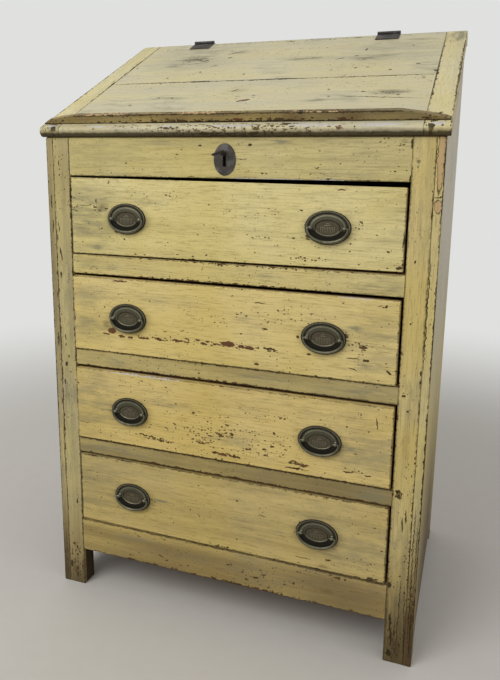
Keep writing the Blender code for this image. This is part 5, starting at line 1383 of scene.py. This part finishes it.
class DESK_OT_lock(bpy.types.Operator):
    """Model the lock plate and the key, and finish the lock behind them"""

    bl_idname = "desk.lock"
    bl_label = "Lock and key"

    def execute(self, context):
        sizes = context.scene.desk_lock
        material = iron_material("lock_iron_finish", rust=0.45)
        axis = Vector(JOINTS["key_turn"]["pos_m"])
        complete(self.plate(sizes, axis), "keyhole_plate", "carcass", material,
                 "escutcheon")
        complete(self.key(sizes, axis), "bow_key", "key_body",
                 iron_material("key_iron_finish", rust=0.25, soot=0.65), "key")
        inner = iron_material("lock_case_finish", rust=0.75)
        for node in ("lock_case", "lock_bolt"):
            dress(node, inner)
        return {"FINISHED"}

    def plate(self, sizes, axis):
        """Domed oval with a keyhole and four pins."""
        low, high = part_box("escutcheon")
        half_width, half_height = (high.x - low.x) / 2, (high.z - low.z) / 2
        centre = Vector((0.0, high.y, (low.z + high.z) / 2))
        dome = high.y - low.y
        rings = [(half_width * share, dome * rise, half_height / half_width)
                 for share, rise in LOCK_RINGS]
        disc = turned(centre, rings, LOCK_SIDES)
        deselect()
        bpy.ops.mesh.primitive_cylinder_add(
            vertices=KEYHOLE_SIDES, radius=sizes.keyhole_radius, depth=KEYHOLE_DEPTH, location=axis,
            rotation=(math.pi / 2, 0.0, 0.0))
        hole = bpy.context.active_object
        slot = block((axis.x, axis.y, axis.z - sizes.keyhole_drop / 2),
                     (sizes.keyhole_width, KEYHOLE_DEPTH, sizes.keyhole_drop))
        cut(disc, [hole, slot])
        pins = [turned((x, high.y - dome * PIN_RISE, centre.z + z), PIN_RINGS, PIN_SIDES)
                for x, z in PINS]
        return join([disc] + pins)

    def key(self, sizes, axis):
        """Oval bow, tipped a little to the left, a collar, the shank and the bit."""
        low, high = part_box("key")
        half_width = high.x - sizes.bow_bar / 2
        half_length = sizes.bow_length - sizes.bow_bar / 2
        middle = low.y + sizes.bow_bar / 2 * (1 + BOW_SWELL) + half_length
        points, radii = [], []
        for step in range(BOW_STEPS):
            turn = math.tau * step / BOW_STEPS
            x = half_width * math.sin(turn)
            points.append((x * math.cos(sizes.bow_tip), middle - half_length * math.cos(turn),
                           axis.z + x * math.sin(sizes.bow_tip)))
            radii.append(sizes.bow_bar / 2 * (1.0 + BOW_SWELL * math.cos(turn)))
        bow = tube(points, radii, closed=True, sides=3)
        foot = middle + half_length
        shank, collar = sizes.shank_radius, sizes.collar_radius
        start = high.y
        out = start - foot
        collar_at = start - (axis.y - COLLAR_REACH)
        rings = [(shank * share, place) for share, place in SHANK_END]
        rings.append((shank, collar_at + SHANK_TO_COLLAR))
        rings += [(collar * share, collar_at + step) for share, step in COLLAR_RINGS]
        rings.append((shank, collar_at + SHANK_FROM_COLLAR))
        rings += [(shank * share, out + step) for share, step in SHANK_AT_BOW]
        rod = turned((axis.x, start, axis.z), rings, SHANK_SIDES)
        bit = bar((axis.x + low.x / 2, axis.y + BIT_START + BIT_LENGTH / 2, axis.z),
                  (-low.x, BIT_LENGTH, BIT_HEIGHT), BIT_ROUNDING)
        return join([bow, rod, bit])


HINGE_THICKNESS = 0.0016
HINGE_PIN_RADIUS = 0.0013
PIN_END = 0.002           # from the end of the outer knuckle to the end of the pin
KNUCKLE_SIDES = 32
KNUCKLE_EASE = 0.0003
KNUCKLE_GAP = 0.0006      # between two knuckles, and between a leaf and a turning knuckle
LEAF_LIFT = 0.0003        # of the leaf above the lid
TONGUE_GAP = 0.0007       # from the middle of the pin to the start of a leaf's tongue
LEAF_ROUNDING, TONGUE_ROUNDING = 0.0004, 0.0003
SCREW_SHARES = (0.17, 0.5, 0.83)     # places of the screws along a leaf
# Distance of the outer screws and of the middle one from the knuckles
FIXED_SCREWS = (0.0085, 0.0180)
LID_SCREWS = (0.0100, 0.0220)
SCREW_RINGS = ((0.0033, 0.0), (0.0031, 0.0003), (0.0022, 0.0006), (0.0010, 0.0007))
SCREW_SIDES = 20
# Tool that cuts the slot of a screw: its middle off the leaf, and its size
SLOT_DEPTH = -0.0008
SLOT_SIZE = (0.0090, 0.0009, 0.0007)
SLOT_TURN = 400.0         # turns each slot by its place across the desk, so that no two agree
# Brown rust on the hinge leaves, seen from above
HINGE_RUST = marks(rust=[(-0.232, 0.163, 0.010, 0.006), (0.192, 0.168, 0.010, 0.012)])


class DESK_OT_hinges(bpy.types.Operator):
    """Model the leaves, knuckles and screws of the two lid hinges"""

    bl_idname = "desk.hinges"
    bl_label = "Lid hinges"

    def execute(self, context):
        material = iron_material("hinge_iron_finish", rust=0.25, stains=HINGE_RUST)
        for side in SIDES:
            low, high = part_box(f"{side}_hinge_fixed_leaf")
            complete(self.fixed_leaf(low, high), f"{side}_hinge_back_leaf", "carcass",
                     material, f"{side}_hinge_fixed_leaf")
            complete(self.lid_leaf(low, high), f"{side}_hinge_front_leaf", "lid",
                     material, f"{side}_hinge_lid_leaf")
        return {"FINISHED"}

    def stations(self, low, high):
        third = (high.x - low.x) / 3
        return [low.x + third * step for step in range(4)]

    def knuckle(self, near, far, centre, radius):
        """One barrel of the hinge, its ends eased."""
        deselect()
        bpy.ops.mesh.primitive_cylinder_add(
            vertices=KNUCKLE_SIDES, radius=radius, depth=far - near,
            location=((near + far) / 2, centre[0], centre[1]), rotation=(0.0, math.pi / 2, 0.0))
        piece = bpy.context.active_object
        settle(piece)
        round_edges(piece, lambda edge: abs(edge.verts[0].co.x - edge.verts[1].co.x) < MERGE,
                    KNUCKLE_EASE, SMALL_SEGMENTS)
        return piece

    def screw(self, place):
        """Slotted screw head, sunk in its leaf."""
        head = turned((0.0, 0.0, 0.0), SCREW_RINGS, SCREW_SIDES)
        cut(head, [block((0.0, SLOT_DEPTH, 0.0), SLOT_SIZE)])
        head.rotation_euler = (-math.pi / 2, 0.0, place[0] * SLOT_TURN)
        head.location = place
        fix(head)
        return head

    def screws(self, low, high, start, steps, top):
        """Three screws across a leaf, the middle one further from the knuckles."""
        outer, middle = steps
        return [self.screw((low.x + (high.x - low.x) * share, start + step, top))
                for share, step in zip(SCREW_SHARES, (outer, middle, outer))]

    def fixed_leaf(self, low, high):
        """Level leaf on the top board, with the two outer knuckles and the pin."""
        ends = self.stations(low, high)
        pin = (LID_PIN.y, LID_PIN.z)
        radius = high.z - LID_PIN.z
        thickness = HINGE_THICKNESS
        level = low.z + thickness / 2
        start, end = pin[0] + TONGUE_GAP, high.y
        whole = bar(((low.x + high.x) / 2, (start + radius + end) / 2 + KNUCKLE_GAP / 2, level),
                    (high.x - low.x, end - start - radius - KNUCKLE_GAP, thickness), LEAF_ROUNDING)
        pieces = [whole]
        for near, far in ((ends[0], ends[1] - KNUCKLE_GAP), (ends[2] + KNUCKLE_GAP, ends[3])):
            pieces.append(self.knuckle(near, far, pin, radius))
            pieces.append(bar(((near + far) / 2, (start + start + radius) / 2 + KNUCKLE_GAP, level),
                              (far - near, radius + 2 * KNUCKLE_GAP, thickness), TONGUE_ROUNDING))
        pieces.append(self.knuckle(ends[0] + PIN_END, ends[3] - PIN_END, pin, HINGE_PIN_RADIUS))
        return join(pieces + self.screws(low, high, pin[0] + radius, FIXED_SCREWS, low.z + thickness))

    def lid_leaf(self, low, high):
        """Leaf on the slope, modelled from the pin and then laid on the lid."""
        ends = self.stations(low, high)
        radius = high.z - LID_PIN.z
        board_top = extent("lid_panel", LID_SPACE)[1].z
        inner = extent("left_hinge_lid_leaf", LID_SPACE)
        thickness = HINGE_THICKNESS
        base = board_top + LEAF_LIFT
        near, far = inner[0].y, -(radius + KNUCKLE_GAP)
        whole = bar(((low.x + high.x) / 2, (near + far) / 2, base + thickness / 2),
                    (high.x - low.x, far - near, thickness), LEAF_ROUNDING)
        tongue = bar(((ends[1] + ends[2]) / 2, far / 2 - TONGUE_GAP, base + thickness / 2),
                     (ends[2] - ends[1], -far, thickness), TONGUE_ROUNDING)
        pieces = [whole, tongue, self.knuckle(ends[1], ends[2], (0.0, 0.0), radius)]
        leaf = join(pieces + self.screws(low, high, far, [-step for step in LID_SCREWS],
                                         base + thickness))
        leaf.matrix_world = LID_SPACE @ leaf.matrix_world
        fix(leaf)
        return leaf


# Camera, as it stood for the photograph
CAMERA_PLACE = (0.4114, -1.2633, 0.8685)
CAMERA_YAW = -0.3387
CAMERA_PITCH = 0.1906
CAMERA_ROLL = 0.0131
SENSOR = 36.0
FOCAL_LENGTH = 34.31
SHIFT = (0.0046, -0.0707)
CLIP_START = 0.02
FLOOR_RADIUS = 6.0
FLOOR_SIDES = 96
FADE_START, FADE_END = 0.9, 2.6      # distance over which the floor turns into the backdrop
# Place, target and width of each lamp
KEY_LAMP = ((-1.3, -2.6, 2.9), (0.0, 0.0, 0.75), 2.4)
SIDE_LAMP = ((2.6, -0.6, 2.3), (0.0, 0.0, 0.7), 2.0)


class DESK_OT_stage(bpy.types.Operator):
    """Set the floor, the background, the lamps and the camera"""

    bl_idname = "desk.stage"
    bl_label = "Stage"

    def execute(self, context):
        settings = context.scene.desk_stage
        self.floor(settings)
        self.world(context.scene, settings)
        self.lamp("key_lamp", settings.key_light, *KEY_LAMP)
        self.lamp("side_lamp", settings.side_light, *SIDE_LAMP)
        self.camera(context.scene)
        context.scene.view_settings.view_transform = "Standard"
        return {"FINISHED"}

    def floor(self, settings):
        deselect()
        bpy.ops.mesh.primitive_circle_add(vertices=FLOOR_SIDES, radius=FLOOR_RADIUS, fill_type="NGON")
        piece = bpy.context.active_object
        piece.name = "studio_floor"
        recipe = Finish("studio_floor_finish")
        flat = recipe.mapped(recipe.spot, scale=(1.0, 1.0, 0.0))
        away = recipe.vector("LENGTH", flat, output="Value")
        grain = recipe.noise(recipe.spot, 30.0, detail=3.0)
        tone = recipe.blend(grain.rise(0.3, 0.7, 0.06), settings.floor, settings.backdrop)
        floor = recipe.add("ShaderNodeBsdfPrincipled", {}, {
            "Base Color": tone, "Roughness": 0.6 + grain * 0.1, "Specular IOR Level": 0.3})
        glow = recipe.add("ShaderNodeEmission", {}, {"Color": (*settings.backdrop, 1.0)})
        camera = recipe.add("ShaderNodeLightPath", output="Is Camera Ray")
        far = away.rise(FADE_START, FADE_END) * camera
        mixed = recipe.add("ShaderNodeMixShader", {}, {0: far, 1: floor, 2: glow})
        piece.data.materials.append(recipe.done(mixed))

    def world(self, scene, settings):
        """Even light from all sides, with the backdrop for the camera and for reflections."""
        scene.world = bpy.data.worlds.new("studio_light")
        recipe = Recipe(scene.world)
        camera = recipe.add("ShaderNodeLightPath", output="Is Camera Ray")
        seen = camera.most(camera.output("Is Glossy Ray")).most(camera.output("Is Transmission Ray"))
        light = recipe.add("ShaderNodeBackground", {}, {"Color": (*settings.sky_colour, 1.0),
                                                        "Strength": settings.sky})
        view = recipe.add("ShaderNodeBackground", {}, {"Color": (*settings.backdrop, 1.0)})
        mixed = recipe.add("ShaderNodeMixShader", {}, {0: seen, 1: light, 2: view})
        recipe.add("ShaderNodeOutputWorld", {}, {"Surface": mixed})

    def lamp(self, name, power, place, target, size):
        data = bpy.data.lights.new(name, "AREA")
        data.shape = "DISK"
        data.size = size
        data.energy = power
        lamp = bpy.data.objects.new(name, data)
        bpy.context.scene.collection.objects.link(lamp)
        lamp.location = place
        away = Vector(place) - Vector(target)
        lamp.rotation_euler = away.to_track_quat("Z", "Y").to_euler()

    def camera(self, scene):
        forward = Vector((math.sin(CAMERA_YAW) * math.cos(CAMERA_PITCH),
                          math.cos(CAMERA_YAW) * math.cos(CAMERA_PITCH), -math.sin(CAMERA_PITCH)))
        level = Vector((math.cos(CAMERA_YAW), -math.sin(CAMERA_YAW), 0.0))
        upright = level.cross(forward)
        right = level * math.cos(CAMERA_ROLL) + upright * math.sin(CAMERA_ROLL)
        up = upright * math.cos(CAMERA_ROLL) - level * math.sin(CAMERA_ROLL)
        data = bpy.data.cameras.new("photo_camera")
        data.sensor_width = SENSOR
        data.lens = FOCAL_LENGTH
        data.shift_x, data.shift_y = SHIFT
        data.clip_start = CLIP_START
        camera = bpy.data.objects.new("photo_camera", data)
        scene.collection.objects.link(camera)
        turn = Matrix((right, up, -forward)).transposed().to_4x4()
        camera.matrix_world = Matrix.Translation(CAMERA_PLACE) @ turn
        scene.camera = camera


class DESK_PT_tools(bpy.types.Panel):
    """Steps that finish the desk"""

    bl_idname = "DESK_PT_tools"
    bl_label = "Desk"
    bl_space_type = "VIEW_3D"
    bl_region_type = "UI"
    bl_category = "Desk"

    def draw(self, context):
        for step in STEPS:
            self.layout.operator(step.bl_idname)
        for name in SETTINGS:
            group = getattr(context.scene, name)
            box = self.layout.box()
            for field in group.__annotations__:
                box.prop(group, field)


STEPS = (DESK_OT_boards, DESK_OT_bare_pine, DESK_OT_handles, DESK_OT_lock, DESK_OT_hinges,
         DESK_OT_stage)
SETTINGS = {
    "desk_paint": DeskPaintSettings,
    "desk_pine": DeskPineSettings,
    "desk_metal": DeskMetalSettings,
    "desk_handles": DeskHandleSettings,
    "desk_lock": DeskLockSettings,
    "desk_stage": DeskStageSettings,
}


def register():
    for group in (*SETTINGS.values(), *STEPS, DESK_PT_tools):
        bpy.utils.register_class(group)
    for name, group in SETTINGS.items():
        setattr(bpy.types.Scene, name, PointerProperty(type=group))


def unregister():
    for name in SETTINGS:
        delattr(bpy.types.Scene, name)
    for group in (DESK_PT_tools, *reversed(STEPS), *reversed(SETTINGS.values())):
        bpy.utils.unregister_class(group)


def main():
    register()
    bpy.ops.desk.boards()
    bpy.ops.desk.bare_pine()
    bpy.ops.desk.handles()
    bpy.ops.desk.lock()
    bpy.ops.desk.hinges()
    bpy.ops.desk.stage()


if __name__ == "__main__":
    main()
